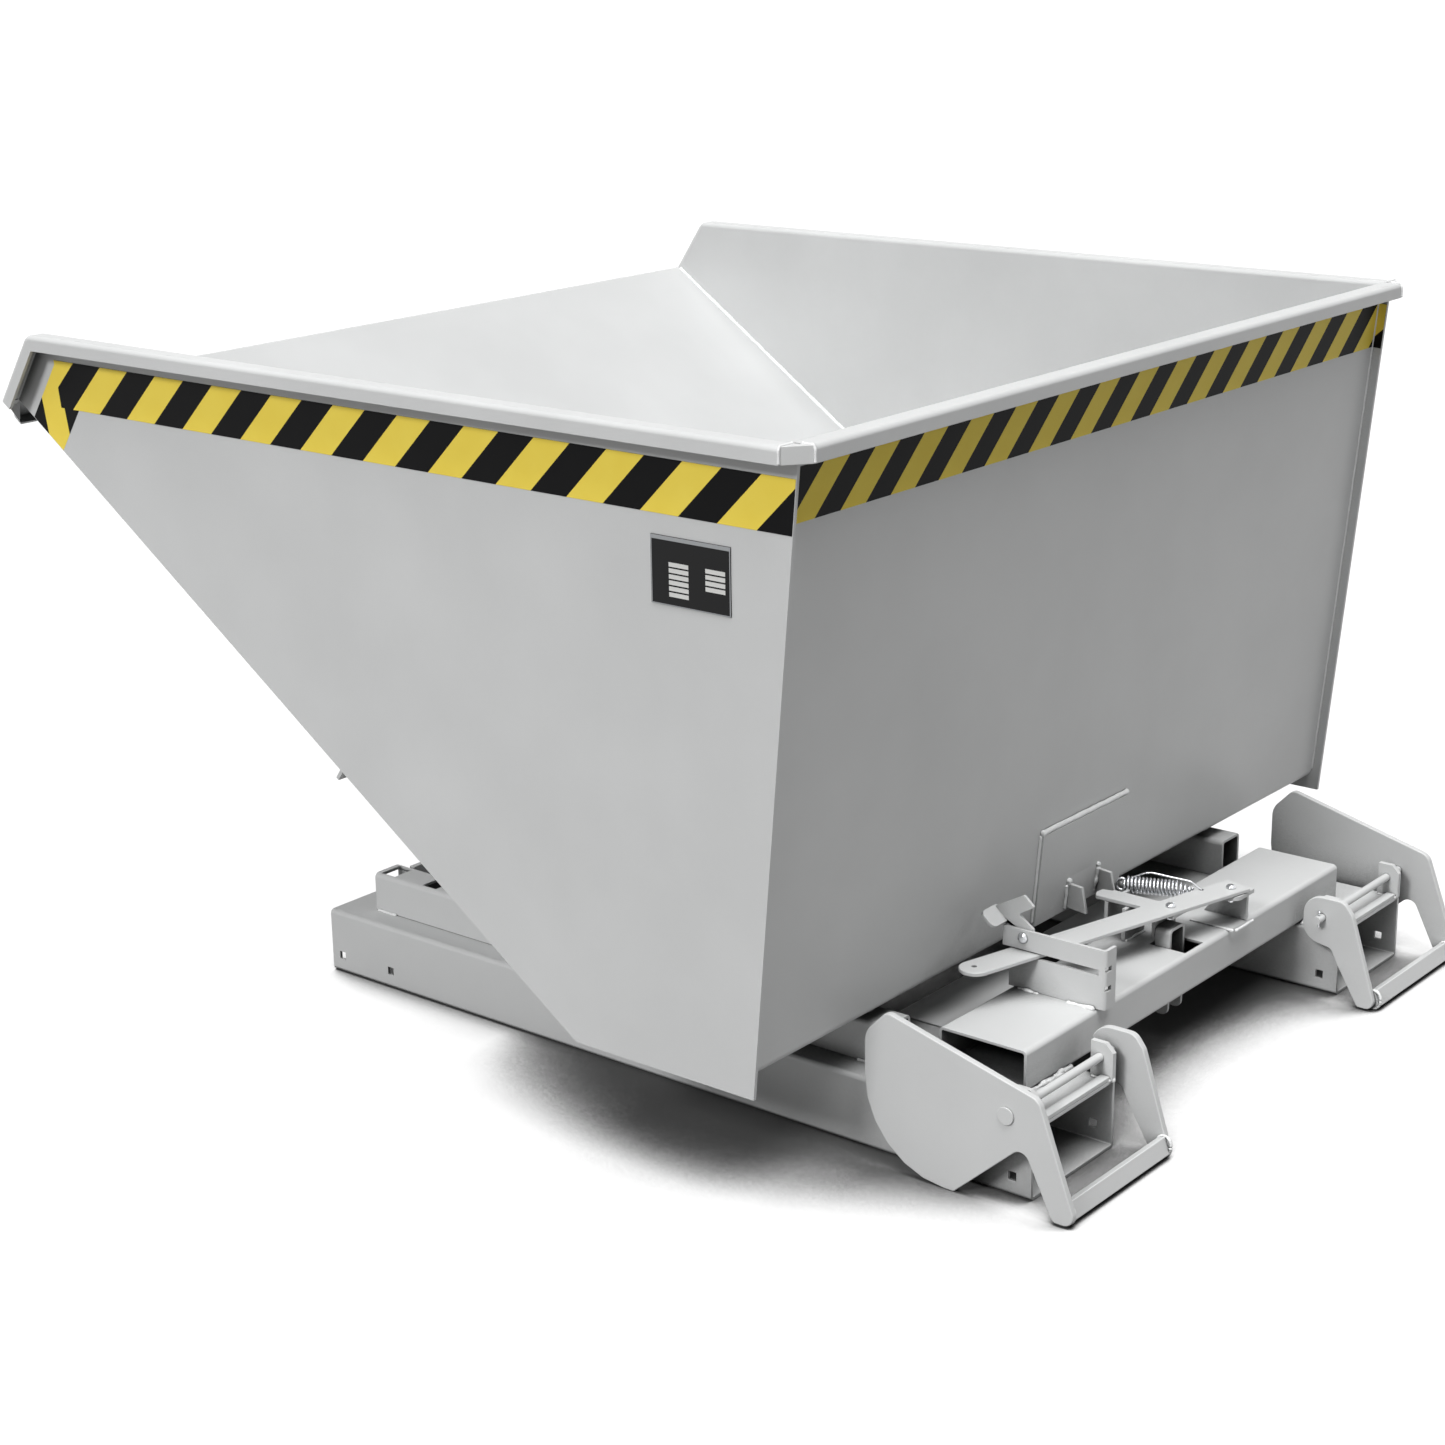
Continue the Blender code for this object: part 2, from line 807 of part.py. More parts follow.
def pivot_bracket():
    """The bent bracket that carries the lever's pivot at the far end."""
    leg = lever_pivot_x - pivot_leg_offset
    front = lever_pivot_y - pivot_leg_front
    rear = beam_rear_y
    flange_end = lever_pivot_x + pivot_flange_round
    half = pivot_flange_round
    made = prism(
        "pivot_bracket",
        rounded(
            [
                (front, beam_seat_z, 0),
                (rear, beam_seat_z, 0),
                (rear, under_lever_z, 0),
                (lever_pivot_y - half, under_lever_z, 0),
            ]
        ),
        "X",
        leg,
        leg + pivot_bracket_sheet,
        paint,
    )
    flange = rounded(
        [
            (leg, lever_pivot_y - half, 0),
            (flange_end, lever_pivot_y - half, half * pivot_corner_share),
            (flange_end, lever_pivot_y + half, half * pivot_corner_share),
            (leg, lever_pivot_y + half, 0),
        ],
        steps=plate_steps,
    )
    top = under_lever_z
    fuse(made, prism("pivot_flange", flange, "Z", top - pivot_bracket_sheet, top))
    hole = circle(lever_pivot_x, lever_pivot_y, bolt_round + clearance)
    cut(made, hole, "Z", top - pivot_bracket_sheet - overrun, top + overrun)
    return made


def latch_lever():
    """The flat lever: slanted bar, rounded handle and the latch arm that points forwards."""
    hinge = axis_empty("lever_axis", (lever_pivot_x, lever_pivot_y, lever_z))
    cosine = math.cos(lever_slant)
    sine = math.sin(lever_slant)

    def at(along, across, corner_round=0.0):
        x = lever_pivot_x + along * cosine + across * sine
        y = lever_pivot_y - along * sine + across * cosine
        return (x, y, corner_round)

    def front_edge_at(x):
        along = (x - lever_pivot_x + lever_front_edge * sine) / cosine
        return (x, at(along, -lever_front_edge)[1], bolt_round)

    arm_left = lever_pivot_x + arm_offset_x - arm_width / 2
    arm_right = arm_left + arm_width
    tip_y = lever_pivot_y - arm_reach
    hook_y = lever_pivot_y - arm_hook_reach
    end_round = (lever_front_edge + lever_rear_edge) * lever_end_share
    reach = lever_reach + end_round
    corners = [
        at(-lever_tail, lever_rear_edge),
        at(-lever_tail, -lever_front_edge),
        front_edge_at(arm_left),
        (arm_left, hook_y, 0),
        (arm_left + hook_slant, hook_y - hook_slant / 2, 0),
        (arm_left + hook_slant + hook_step / 2, tip_y + hook_slant / 2, 0),
        (arm_right - arm_nose, tip_y, 0),
        (arm_right, tip_y + hook_step, 0),
        front_edge_at(arm_right),
        at(reach, -lever_front_edge, end_round),
        at(reach, lever_rear_edge, end_round),
    ]
    top = lever_z + lever_sheet
    made = prism("latch_lever", rounded(corners, steps=lever_steps), "Z", lever_z, top, paint, hinge)
    eased(made, lever_bevel)
    holes = (
        (lever_pivot_x, lever_pivot_y, bolt_round + clearance),
        (lever_pivot_x + tab_bolt_x, lever_pivot_y - tab_bolt_y, bolt_round + clearance),
        (lever_pivot_x + spring_hole_x, lever_pivot_y - spring_hole_y, spring_hole),
        (*at(lever_reach, -handle_hole_offset)[:2], handle_hole),
    )
    for x, y, radius in holes:
        cut(made, circle(x, y, radius, hole_steps), "Z", lever_z - overrun, top + overrun)
    return hinge


def latch_rest():
    """The plate under the latch arm, with a bored ear for the spring."""
    front = beam_front_y + rest_setback
    left_end = rest_left_x + rest_ear_width
    ear_top = spring_axis_z + rest_ear_rise
    outline = rounded(
        [
            (rest_left_x, beam_seat_z, 0),
            (rest_right_x, beam_seat_z, 0),
            (rest_right_x, under_lever_z, 0),
            (left_end, under_lever_z, 0),
            (left_end, ear_top, rest_ear_width * rest_ear_corner_share),
            (rest_left_x, ear_top, rest_ear_width * rest_ear_corner_share),
        ]
    )
    made = prism("latch_rest", outline, "Y", front, front + rest_sheet, paint)
    share = (front + rest_sheet / 2 - spring_eye_y) / spring_way.y
    hole = circle(spring_eye_x + share * spring_way.x, spring_axis_z, spring_hole, small_hole_steps)
    cut(made, hole, "Y", front - overrun, front + rest_sheet + overrun)
    return made


def stop_plate():
    """The upright plate that carries the lever's bar."""
    outline = rectangle(stop_plate_left_x, beam_seat_z, stop_plate_right_x, under_lever_z)
    return prism("lever_support", outline, "Y", stop_plate_y, stop_plate_y + rest_sheet, paint)


def trip_tab(hinge):
    """The bent tab bolted under the lever, which pushes the trip strap."""
    rear = strap_front_y - tab_gap
    top = lever_z - clearance
    front = rear - tab_sheet
    path = rounded(
        [
            (front, tab_foot_z, 0),
            (front, top, tab_bend),
            (front + tab_flange_depth, top, 0),
        ],
        closed=False,
    )
    outline = path + shifted(path, -tab_sheet)[::-1]
    made = prism("trip_tab", outline, "X", tab_left_x, tab_right_x, paint, hinge)
    hole = circle(
        lever_pivot_x + tab_bolt_x,
        lever_pivot_y - tab_bolt_y,
        bolt_round + clearance,
        hole_steps,
    )
    cut(made, hole, "Z", top - tab_sheet - overrun, top + overrun)
    return made


def trip_strap():
    """The bent strap that hangs through the beam, hinged on a cross pin."""
    hinge = axis_empty("strap_axis", (strap_left_x, strap_pin_y, strap_pin_z))
    path = rounded(
        [
            (strap_left_x, strap_foot_z, 0),
            (strap_left_x, strap_top_z, strap_bend),
            (strap_right_x, strap_top_z, strap_bend),
            (strap_right_x, strap_foot_z, 0),
        ],
        closed=False,
    )
    outline = path + shifted(path, -strap_sheet)[::-1]
    made = prism("trip_strap", outline, "Y", strap_front_y, strap_rear_y, paint, hinge)
    profile = rounded(
        [
            (strap_front_y, strap_foot_z, strap_width * strap_end_share),
            (strap_rear_y, strap_foot_z, strap_width * strap_end_share),
            (strap_rear_y, strap_top_z + overrun, 0),
            (strap_front_y, strap_top_z + overrun, 0),
        ]
    )
    low = strap_left_x - overrun
    high = strap_right_x + overrun
    combine(made, prism("strap_profile", profile, "X", low, high), "INTERSECT")
    cut(made, circle(strap_pin_y, strap_pin_z, strap_pin_round + clearance), "X", low, high)
    return made


def trip_ear(name, low):
    """A small ear inside the beam that holds one end of the strap's pin."""
    foot = beam_foot_z + beam_wall + clearance
    half = strap_ear_width / 2
    corner = strap_ear_width * strap_ear_corner_share
    outline = rounded(
        [
            (strap_pin_y - half, foot, 0),
            (strap_pin_y + half, foot, 0),
            (strap_pin_y + half, foot + strap_ear_rise, corner),
            (strap_pin_y - half, foot + strap_ear_rise, corner),
        ]
    )
    made = prism(name, outline, "X", low, low + strap_ear_sheet, paint)
    hole = circle(strap_pin_y, strap_pin_z, strap_pin_round + clearance)
    cut(made, hole, "X", low - overrun, low + strap_ear_sheet + overrun)
    return made


def tension_spring():
    """One wound wire: front hook through the ear, coils, and a long hook into the lever."""
    along = Vector((spring_way.x, spring_way.y, 0))
    aside = Vector((spring_way.y, -spring_way.x, 0))
    up = Vector((0, 0, 1))
    eye = Vector((spring_eye_x, spring_eye_y, spring_axis_z))

    def at(reach, rise, side=0.0):
        return eye + along * reach + up * rise + aside * side

    body_end = spring_body_start + spring_turns * spring_pitch
    points = [
        at(spring_ear_reach + a * spring_bend_round, b * spring_hook_rise)
        for a, b in spring_eye_shares
    ]
    points += [
        at(spring_body_start - a * spring_bend_round, b * spring_coil_round)
        for a, b in spring_start_shares
    ]
    for step in range(spring_turns * spring_turn_points + 1):
        turn = step / spring_turn_points
        angle = math.tau * turn
        points.append(
            at(
                spring_body_start + spring_pitch * turn,
                spring_coil_round * math.cos(angle),
                spring_coil_round * math.sin(angle),
            )
        )
    hole_rise = lever_z + lever_sheet - spring_axis_z
    points.append(at(body_end + spring_bend_round, spring_coil_round * spring_end_share))
    points += [
        at(spring_span - a * spring_bend_round, hole_rise + b * spring_bend_round)
        for a, b in spring_hook_shares
    ]
    points.append(at(spring_span, hole_rise - spring_hook_drop))
    gap = least_gap(points) - spring_wire
    print(f"tension spring: least gap to itself {gap * 1000:.2f} mm")
    data = bpy.data.curves.new("tension_spring", "CURVE")
    data.dimensions = "3D"
    data.bevel_depth = spring_wire / 2
    data.bevel_resolution = 1
    data.use_fill_caps = True
    data.materials.append(zinc)
    spline = data.splines.new("POLY")
    spline.points.add(len(points) - 1)
    for control, place in zip(spline.points, points):
        control.co = (*place, 1.0)
    made = bpy.data.objects.new("tension_spring", data)
    bpy.context.scene.collection.objects.link(made)
    return made


def least_gap(points):
    """The least distance between stretches of the wire that lie over half a turn apart."""
    apart = spring_turn_points // 2
    middles = [(a + b) / 2 for a, b in zip(points, points[1:])]
    return min(
        (middles[i] - middles[j]).length
        for i in range(len(middles))
        for j in range(i + apart, len(middles))
    )


def trough(parent):
    """The folded sheet between the sides: lip return, slanted floor, bottom, wall and rim."""
    rear_turn = Vector((rear_rim_y - trough_sheet, rim_z - trough_sheet))
    lip_corner = floor_front - front_way * lip_return
    path = rounded(
        [
            (*(lip_corner + slant_way * lip_hem), 0),
            (*lip_corner, trough_sheet),
            (*floor_front, trough_sheet),
            (*floor_bend, trough_bend),
            (*wall_bend, trough_bend),
            (*meeting(wall_bend, wall_way, rear_turn, Vector((1, 0))), rim_round),
            (*rear_turn, rim_round - trough_sheet),
            (rear_turn.x, rim_z - rim_depth, 0),
        ],
        closed=False,
    )
    half = half_width - side_sheet - clearance
    outline = strip(path, trough_sheet)
    return prism("trough", outline, "X", -half, half, paint, parent)


def side_plate(name, side, parent):
    """A side of the hopper with its rim folded outwards and down, along the top and front."""
    inner = half_width - side_sheet
    rim_x = half_width + rim_width
    rim_line = [Vector((side_rim_end_y, rim_z)), Vector((rim_front_y, rim_z)), pouring_corner]
    profile = rounded(
        [
            (inner, rim_root_depth, 0),
            (inner, 0, rim_round),
            (rim_x, 0, rim_round),
            (rim_x, rim_depth, 0),
        ],
        closed=False,
    )
    profile += shifted(profile, side_sheet)[::-1]
    mesh = bmesh.new()
    rings = []
    for depth_x, depth_n in profile:
        end, corner, foot = shifted(rim_line, depth_n)
        corner_round = max(rim_corner_round - depth_n, rim_inner_round)
        moved = rounded([(*end, 0), (*corner, corner_round), (*foot, 0)], closed=False, steps=plate_steps)
        rings.append([mesh.verts.new((side * depth_x, a, b)) for a, b in moved])
    for ring, following in zip(rings, rings[1:] + rings[:1]):
        for index in range(len(ring) - 1):
            mesh.faces.new((ring[index], ring[index + 1], following[index + 1], following[index]))
    mesh.faces.new([ring[0] for ring in rings])
    mesh.faces.new([ring[-1] for ring in rings])
    rim = finished(f"{name}_rim", mesh, None, parent)
    front = shifted([Vector((rim_front_y, rim_z)), pouring_corner], rim_round)[0]
    top = rim_z - rim_round
    outline = [
        meeting(front, front_way, pouring_corner, slant_way),
        Vector((side_foot_front_y, side_foot_z)),
        Vector((side_foot_rear_y, side_foot_z)),
        meeting(rear_foot, wall_way, Vector((0, top)), Vector((1, 0))),
        meeting(front, front_way, Vector((0, top)), Vector((1, 0))),
    ]
    low, high = sorted((side * inner, side * half_width))
    made = prism(name, outline, "X", low, high, paint, parent)
    fuse(made, rim, "MANIFOLD")
    return made


def corner_patch(name, side, parent):
    """The small welded piece that closes the rim across a rear corner."""
    plate_x = half_width + clearance
    rim_x = half_width + rim_width
    inner_x = half_width - side_sheet
    front_y = side_rim_end_y + clearance
    step_y = side_top_rear_y + clearance
    outline = [
        Vector((side * plate_x, front_y)),
        Vector((side * rim_x, front_y)),
        Vector((side * inner_x, rear_rim_y)),
        Vector((side * inner_x, step_y)),
        Vector((side * plate_x, step_y)),
    ]
    foot = rim_z - rim_depth
    made = prism(name, outline, "Z", foot, rim_z, paint, parent)
    slope = Vector((inner_x - rim_x, rear_rim_y - front_y)).normalized()
    inward = Vector((-slope.y, slope.x)) * side_sheet
    below = [
        Vector((rim_x, front_y)) + inward - slope * overrun,
        Vector((inner_x, rear_rim_y)) + inward + slope * overrun,
        Vector((inner_x - overrun, front_y - overrun)),
        Vector((rim_x - overrun, front_y - overrun)),
    ]
    below = [Vector((side * x, y)) for x, y in below]
    cut(made, below, "Z", foot - overrun, rim_z - side_sheet)
    return made


def rocker(name, side, parent):
    """A toothed arc under the slanted floor that runs on into a flat foot."""
    centre = Vector((rocker_contact_y, rocker_centre_z))

    def on_arc(angle, radius=rocker_radius):
        return centre - Vector((math.sin(angle), math.cos(angle))) * radius

    arc = [on_arc(rocker_sweep * step / rocker_arc_steps) for step in range(rocker_arc_steps + 1)]
    foot_z = rocker_centre_z - rocker_radius
    under_floor = floor_front + floor_normal * clearance
    under_bottom_z = side_foot_z + bottom_inset - clearance
    bottom_way = Vector((1, 0))
    reach = on_arc(rocker_sweep)
    crest = meeting(reach, floor_normal, under_floor, slant_way)
    bend = meeting(under_floor, slant_way, Vector((0, under_bottom_z)), bottom_way)
    outline = [
        *arc,
        crest,
        bend,
        Vector((runner_rear_y, under_bottom_z)),
        Vector((runner_rear_y, foot_z)),
    ]
    low = side * track_centre_x - rocker_plate / 2
    high = low + rocker_plate
    made = prism(name, outline, "X", low, high, paint, parent)
    for number in range(track_slots):
        middle = (first_tooth_reach + number * tooth_pitch) / rocker_radius
        base = tooth_base / 2 / rocker_radius
        tip = tooth_tip / 2 / rocker_radius
        tooth = [
            on_arc(middle - base, rocker_radius - tooth_height),
            on_arc(middle - base),
            on_arc(middle - tip, rocker_radius + tooth_height),
            on_arc(middle + tip, rocker_radius + tooth_height),
            on_arc(middle + base),
            on_arc(middle + base, rocker_radius - tooth_height),
        ]
        fuse(made, prism(f"{name}_tooth_{number}", tooth, "X", low, high))
    slack = 2 * clearance
    slot = stiffener_outline(slack)
    cut(made, slot, "X", low - overrun, high + overrun)
    return made


def stiffener_outline(slack=0.0):
    """The section of the bar under the slanted floor, or of the slot that clears it."""
    place = meeting(floor_front, slant_way, Vector((stiffener_y, 0)), Vector((0, 1)))
    down = floor_normal
    half = slant_way * (stiffener_sheet / 2 + slack)
    top = place + down * clearance - down * (overrun if slack else 0)
    foot = place + down * (clearance + stiffener_depth + slack)
    return [top - half, top + half, foot + half, foot - half]


def on_wall(z, reach=0.0):
    """A point on the outside of the rear wall, or square out from it."""
    return meeting(wall_bend, wall_way, Vector((0, z)), Vector((1, 0))) + wall_normal * reach


def catch(parent):
    """The doubler, the two cheeks and the slanted plate that the latch arm works against."""
    low_z = doubler_foot_z
    doubler = [
        on_wall(low_z, clearance),
        on_wall(low_z, clearance + doubler_sheet),
        on_wall(doubler_top_z, clearance + doubler_sheet),
        on_wall(doubler_top_z, clearance),
    ]
    prism("doubler_plate", doubler, "X", doubler_left_x, doubler_right_x, paint, parent)
    seat = doubler_sheet + 2 * clearance
    cheek = [
        on_wall(cheek_foot_z, seat),
        on_wall(cheek_foot_z, seat + cheek_foot_reach),
        on_wall(cheek_top_z, seat + cheek_top_reach),
        on_wall(cheek_top_z, seat),
    ]
    for word, low in (("right", cheek_right_x), ("left", cheek_left_x)):
        made = prism(f"catch_cheek_{word}", cheek, "X", low, low + cheek_sheet, paint, parent)
        eased(made, cheek_bevel)
    ramp_top = on_wall(cheek_top_z, seat)
    ramp_foot = on_wall(cheek_top_z - ramp_drop, seat + ramp_reach)
    ramp_way = (ramp_foot - ramp_top).normalized()
    ramp_normal = Vector((ramp_way.y, -ramp_way.x)) * ramp_sheet
    ramp = [ramp_top, ramp_foot, ramp_foot + ramp_normal, on_wall((ramp_top + ramp_normal).y, seat)]
    low = cheek_left_x + cheek_sheet + clearance
    prism("catch_ramp", ramp, "X", low, cheek_right_x - clearance, paint, parent)


def name_plate(parent):
    """The bare plate on the right side, under the rear end of the rim."""
    rear = side_top_rear_y - name_plate_rear_gap
    outline = rectangle(
        rear - name_plate_length,
        name_plate_foot_z,
        rear,
        name_plate_foot_z + name_plate_height,
    )
    low = half_width + clearance
    prism("name_plate", outline, "X", low, low + name_plate_sheet, plate_black, parent)


for leftover in list(bpy.data.objects):
    bpy.data.objects.remove(leftover)

paint = painted("light_grey_paint", (0.52, 0.52, 0.52), 0.45)
zinc = painted("bright_zinc", (0.72, 0.73, 0.75), 0.3, 1.0)
plate_black = painted("black_plate", (0.02, 0.02, 0.02), 0.4)

# Lines of the hopper's side view, as (y, z)
side_rim_end_y = rear_rim_y - corner_leg
pouring_corner = Vector((pouring_lip_y, pouring_lip_z))
rear_foot = Vector((side_foot_rear_y, side_foot_z))
front_way = (Vector((rim_front_y, rim_z)) - pouring_corner).normalized()
slant_way = (Vector((side_foot_front_y, side_foot_z)) - pouring_corner).normalized()
wall_way = (Vector((side_top_rear_y, rim_z)) - rear_foot).normalized()
wall_normal = Vector((wall_way.y, -wall_way.x))
floor_normal = Vector((slant_way.y, -slant_way.x))
floor_point = pouring_corner - floor_normal * slant_inset
wall_point = rear_foot - wall_normal * back_inset
bottom_point = Vector((0, side_foot_z + bottom_inset))
inside_front = pouring_corner - Vector((-front_way.y, front_way.x)) * trough_sheet
floor_front = meeting(floor_point, slant_way, inside_front, front_way)
floor_bend = meeting(floor_point, slant_way, bottom_point, Vector((1, 0)))
wall_bend = meeting(bottom_point, Vector((1, 0)), wall_point, wall_way)

# Line of the tension spring, seen from above
spring_eye = Vector((spring_eye_x, spring_eye_y))
spring_end = Vector((lever_pivot_x + spring_hole_x, lever_pivot_y - spring_hole_y))
spring_span = (spring_end - spring_eye).length
spring_way = (spring_end - spring_eye).normalized()

plate_size = (yoke_plate_length, yoke_plate_height)
arm_size = (yoke_arm_length, yoke_arm_height)

hopper = axis_empty("hopper_axis", (0, rocker_contact_y, rocker_centre_z))
for word, side in (("right", 1), ("left", -1)):
    fork_pocket(f"fork_pocket_{word}", side)
    roll_track(f"roll_track_{word}", side)
    pocket_strip(f"pocket_strip_{word}", side)
    yoke_ear(f"yoke_ear_{word}_outer", side, ear_outer_x)
    yoke_ear(f"yoke_ear_{word}_inner", side, ear_inner_x)
    yoke_pin(f"yoke_pin_{word}", side)
    split_pin(f"split_pin_{word}", side)
    yoke(f"yoke_{word}", side)
    rocker(f"rocker_{word}", side, hopper)
    corner_patch(f"corner_patch_{word}", side, hopper)
    side_made = side_plate(f"side_plate_{word}", side, hopper)
    if side < 0:
        bore = circle(rocker_contact_y, rocker_centre_z, carrier_round + clearance)
        cut(side_made, bore, "X", -half_width - overrun, -half_width + side_sheet + overrun)

carrier = circle(rocker_contact_y, rocker_centre_z, carrier_round)
prism("roll_carrier", carrier, "X", -half_width, -half_width + side_sheet, paint, hopper)
trough(hopper)
stiffener_half = half_width - side_sheet - stiffener_end_gap
prism("floor_stiffener", stiffener_outline(), "X", -stiffener_half, stiffener_half, paint, hopper)
catch(hopper)
name_plate(hopper)

front_cross_member()
rear_beam()
guide_bracket()
safety_pawl()
pivot_bracket()
latch_rest()
stop_plate()
lever_hinge = latch_lever()
trip_tab(lever_hinge)
trip_strap()
trip_ear("trip_ear_right", strap_right_x + strap_running + clearance)
trip_ear("trip_ear_left", strap_left_x - strap_running - clearance - strap_ear_sheet)
pin_low = strap_left_x - strap_running - clearance - strap_ear_sheet
pin_high = strap_right_x + strap_running + clearance + strap_ear_sheet
pin_ends = ((pin_low, strap_pin_round), (pin_high, strap_pin_round))
turned("trip_pin", pin_ends, (strap_pin_y, strap_pin_z), "X", zinc)

lever_top = lever_z + lever_sheet + clearance
pivot = (lever_pivot_x, lever_pivot_y)
pivot_grip = lever_sheet + pivot_bracket_sheet + 4 * clearance
bolt("lever_pivot_bolt", pivot, "Z", lever_top, 1, pivot_grip, zinc)
nut_face = under_lever_z - pivot_bracket_sheet - clearance
nut("lever_pivot_nut", pivot, "Z", nut_face, -1, zinc)
tab_bolt = (lever_pivot_x + tab_bolt_x, lever_pivot_y - tab_bolt_y)
bolt("tab_bolt", tab_bolt, "Z", lever_top, 1, lever_sheet + tab_sheet, zinc, lever_hinge)
nut("tab_nut", tab_bolt, "Z", lever_z - tab_sheet - 2 * clearance, -1, zinc, lever_hinge)
pawl_bolt = (pawl_bolt_y, pawl_bolt_z)
pawl_grip = guide_sheet + pawl_sheet + 3 * clearance
bolt("pawl_bolt", pawl_bolt, "X", guide_x + guide_sheet + clearance, 1, pawl_grip, zinc)
nut("pawl_nut", pawl_bolt, "X", guide_x - pawl_sheet - 2 * clearance, -1, zinc)
tension_spring()
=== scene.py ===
"""Look of the tipping hopper dumpster: sprayed steel, weld seams, hazard tape, data plate and wound
spring, with the studio's light and the camera. Lengths in the tables are in millimetres, and MM
turns them to metres."""

import math

import bmesh
import bpy
from mathutils import Matrix, Vector, noise


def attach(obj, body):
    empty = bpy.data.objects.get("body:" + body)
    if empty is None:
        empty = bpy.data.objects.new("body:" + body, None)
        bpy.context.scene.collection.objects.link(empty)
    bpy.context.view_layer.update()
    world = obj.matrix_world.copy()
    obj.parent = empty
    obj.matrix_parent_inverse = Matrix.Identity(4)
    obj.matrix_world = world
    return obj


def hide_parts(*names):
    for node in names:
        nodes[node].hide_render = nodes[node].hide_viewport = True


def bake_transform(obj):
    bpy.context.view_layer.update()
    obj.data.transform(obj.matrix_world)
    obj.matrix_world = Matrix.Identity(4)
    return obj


MM = 0.001
SIDES = ((1, "right"), (-1, "left"))

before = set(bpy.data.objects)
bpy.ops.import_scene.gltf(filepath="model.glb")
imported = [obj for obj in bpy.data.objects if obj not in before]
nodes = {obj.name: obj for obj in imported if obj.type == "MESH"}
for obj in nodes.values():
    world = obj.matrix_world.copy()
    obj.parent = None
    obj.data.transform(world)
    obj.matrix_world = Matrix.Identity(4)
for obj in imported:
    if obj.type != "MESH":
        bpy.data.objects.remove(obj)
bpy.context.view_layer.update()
scene = bpy.context.scene


# ---------------------------------------------------------------- finishes


def linear(code):
    """A colour written as sRGB hex, as the linear values that a shader takes."""
    parts = [int(code[i : i + 2], 16) / 255 for i in (1, 3, 5)]
    return (*(p / 12.92 if p <= 0.04045 else ((p + 0.055) / 1.055) ** 2.4 for p in parts), 1.0)


def add(tree, kind, links=None, **settings):
    """Adds a node with its settings. links gives each socket an output or a plain value."""
    node = tree.nodes.new(kind)
    for name, value in settings.items():
        setattr(node, name, value)
    for name, value in (links or {}).items():
        socket = node.inputs[name]
        if isinstance(value, bpy.types.NodeSocket):
            tree.links.new(value, socket)
        else:
            socket.default_value = value
    return node


def fresh(name):
    """An empty material, and the place on the piece that every pattern starts from."""
    material = bpy.data.materials.new(name)
    material.use_nodes = True
    tree = material.node_tree
    tree.nodes.clear()
    return material, tree, add(tree, "ShaderNodeTexCoord").outputs["Object"]


def per(size):
    """Noise scale whose lumps are about this many millimetres across."""
    return 1 / (size * MM)


# On a Mix node of colours, sockets 6 and 7 are its two colours, and output 2 is the mixed one.


def sprayed_enamel(name, low, high, roughness, peel=0.02, blotch=260, painted_shade_reach=160):
    """Machine enamel sprayed on steel and baked. The eye sees an even, half-gloss grey with the
    faint orange peel of the gun, slow changes of tone between passes, and duller patches. In
    hollows, corners and under parts, ambient occlusion darkens the colour towards dark grey:
    painted shade."""
    material, tree, place = fresh(name)
    passes = add(tree, "ShaderNodeTexNoise", {"Vector": place, "Scale": per(blotch), "Detail": 3.0})
    grain = add(tree, "ShaderNodeTexNoise", {"Vector": place, "Scale": per(9), "Detail": 2.0})
    skin = add(tree, "ShaderNodeTexNoise", {"Vector": place, "Scale": per(2.6), "Detail": 1.0})
    tone = add(
        tree,
        "ShaderNodeMapRange",
        {"Value": passes.outputs["Fac"], "From Min": 0.34, "From Max": 0.66},
    )
    speck = add(
        tree,
        "ShaderNodeMix",
        {"Factor": 0.22, "A": tone.outputs["Result"], "B": grain.outputs["Fac"]},
        data_type="FLOAT",
    )
    coat = add(
        tree,
        "ShaderNodeMix",
        {"Factor": speck.outputs[0], 6: linear(low), 7: linear(high)},
        data_type="RGBA",
    )
    # Painted shade: ambient occlusion (reach) becomes a mask (thin) that darkens the coat towards
    # dark grey in hollows, corners and under parts.
    reach = add(tree, "ShaderNodeAmbientOcclusion", {"Distance": painted_shade_reach * MM}, samples=8)
    thin = add(
        tree,
        "ShaderNodeMapRange",
        {
            "Value": reach.outputs["AO"],
            "From Min": 0.2,
            "From Max": 0.5,
            "To Min": 1.0,
            "To Max": 0.0,
        },
    )
    colour = add(
        tree,
        "ShaderNodeMix",
        {"Factor": thin.outputs["Result"], 6: coat.outputs[2], 7: linear("#343535")},
        data_type="RGBA",
    )
    dull = add(
        tree,
        "ShaderNodeMapRange",
        {
            "Value": grain.outputs["Fac"],
            "From Min": 0.3,
            "From Max": 0.7,
            "To Min": roughness - 0.05,
            "To Max": roughness + 0.06,
        },
    )
    bump = add(
        tree,
        "ShaderNodeBump",
        {"Height": skin.outputs["Fac"], "Strength": 0.35, "Distance": peel * MM},
    )
    wave = add(
        tree,
        "ShaderNodeBump",
        {
            "Height": passes.outputs["Fac"],
            "Normal": bump.outputs["Normal"],
            "Strength": 0.5,
            "Distance": 2.2 * MM,
        },
    )
    paint = add(
        tree,
        "ShaderNodeBsdfPrincipled",
        {
            "Base Color": colour.outputs[2],
            "Roughness": dull.outputs["Result"],
            "Normal": wave.outputs["Normal"],
            "IOR": 1.5,
        },
    )
    add(tree, "ShaderNodeOutputMaterial", {"Surface": paint.outputs["BSDF"]})
    return material


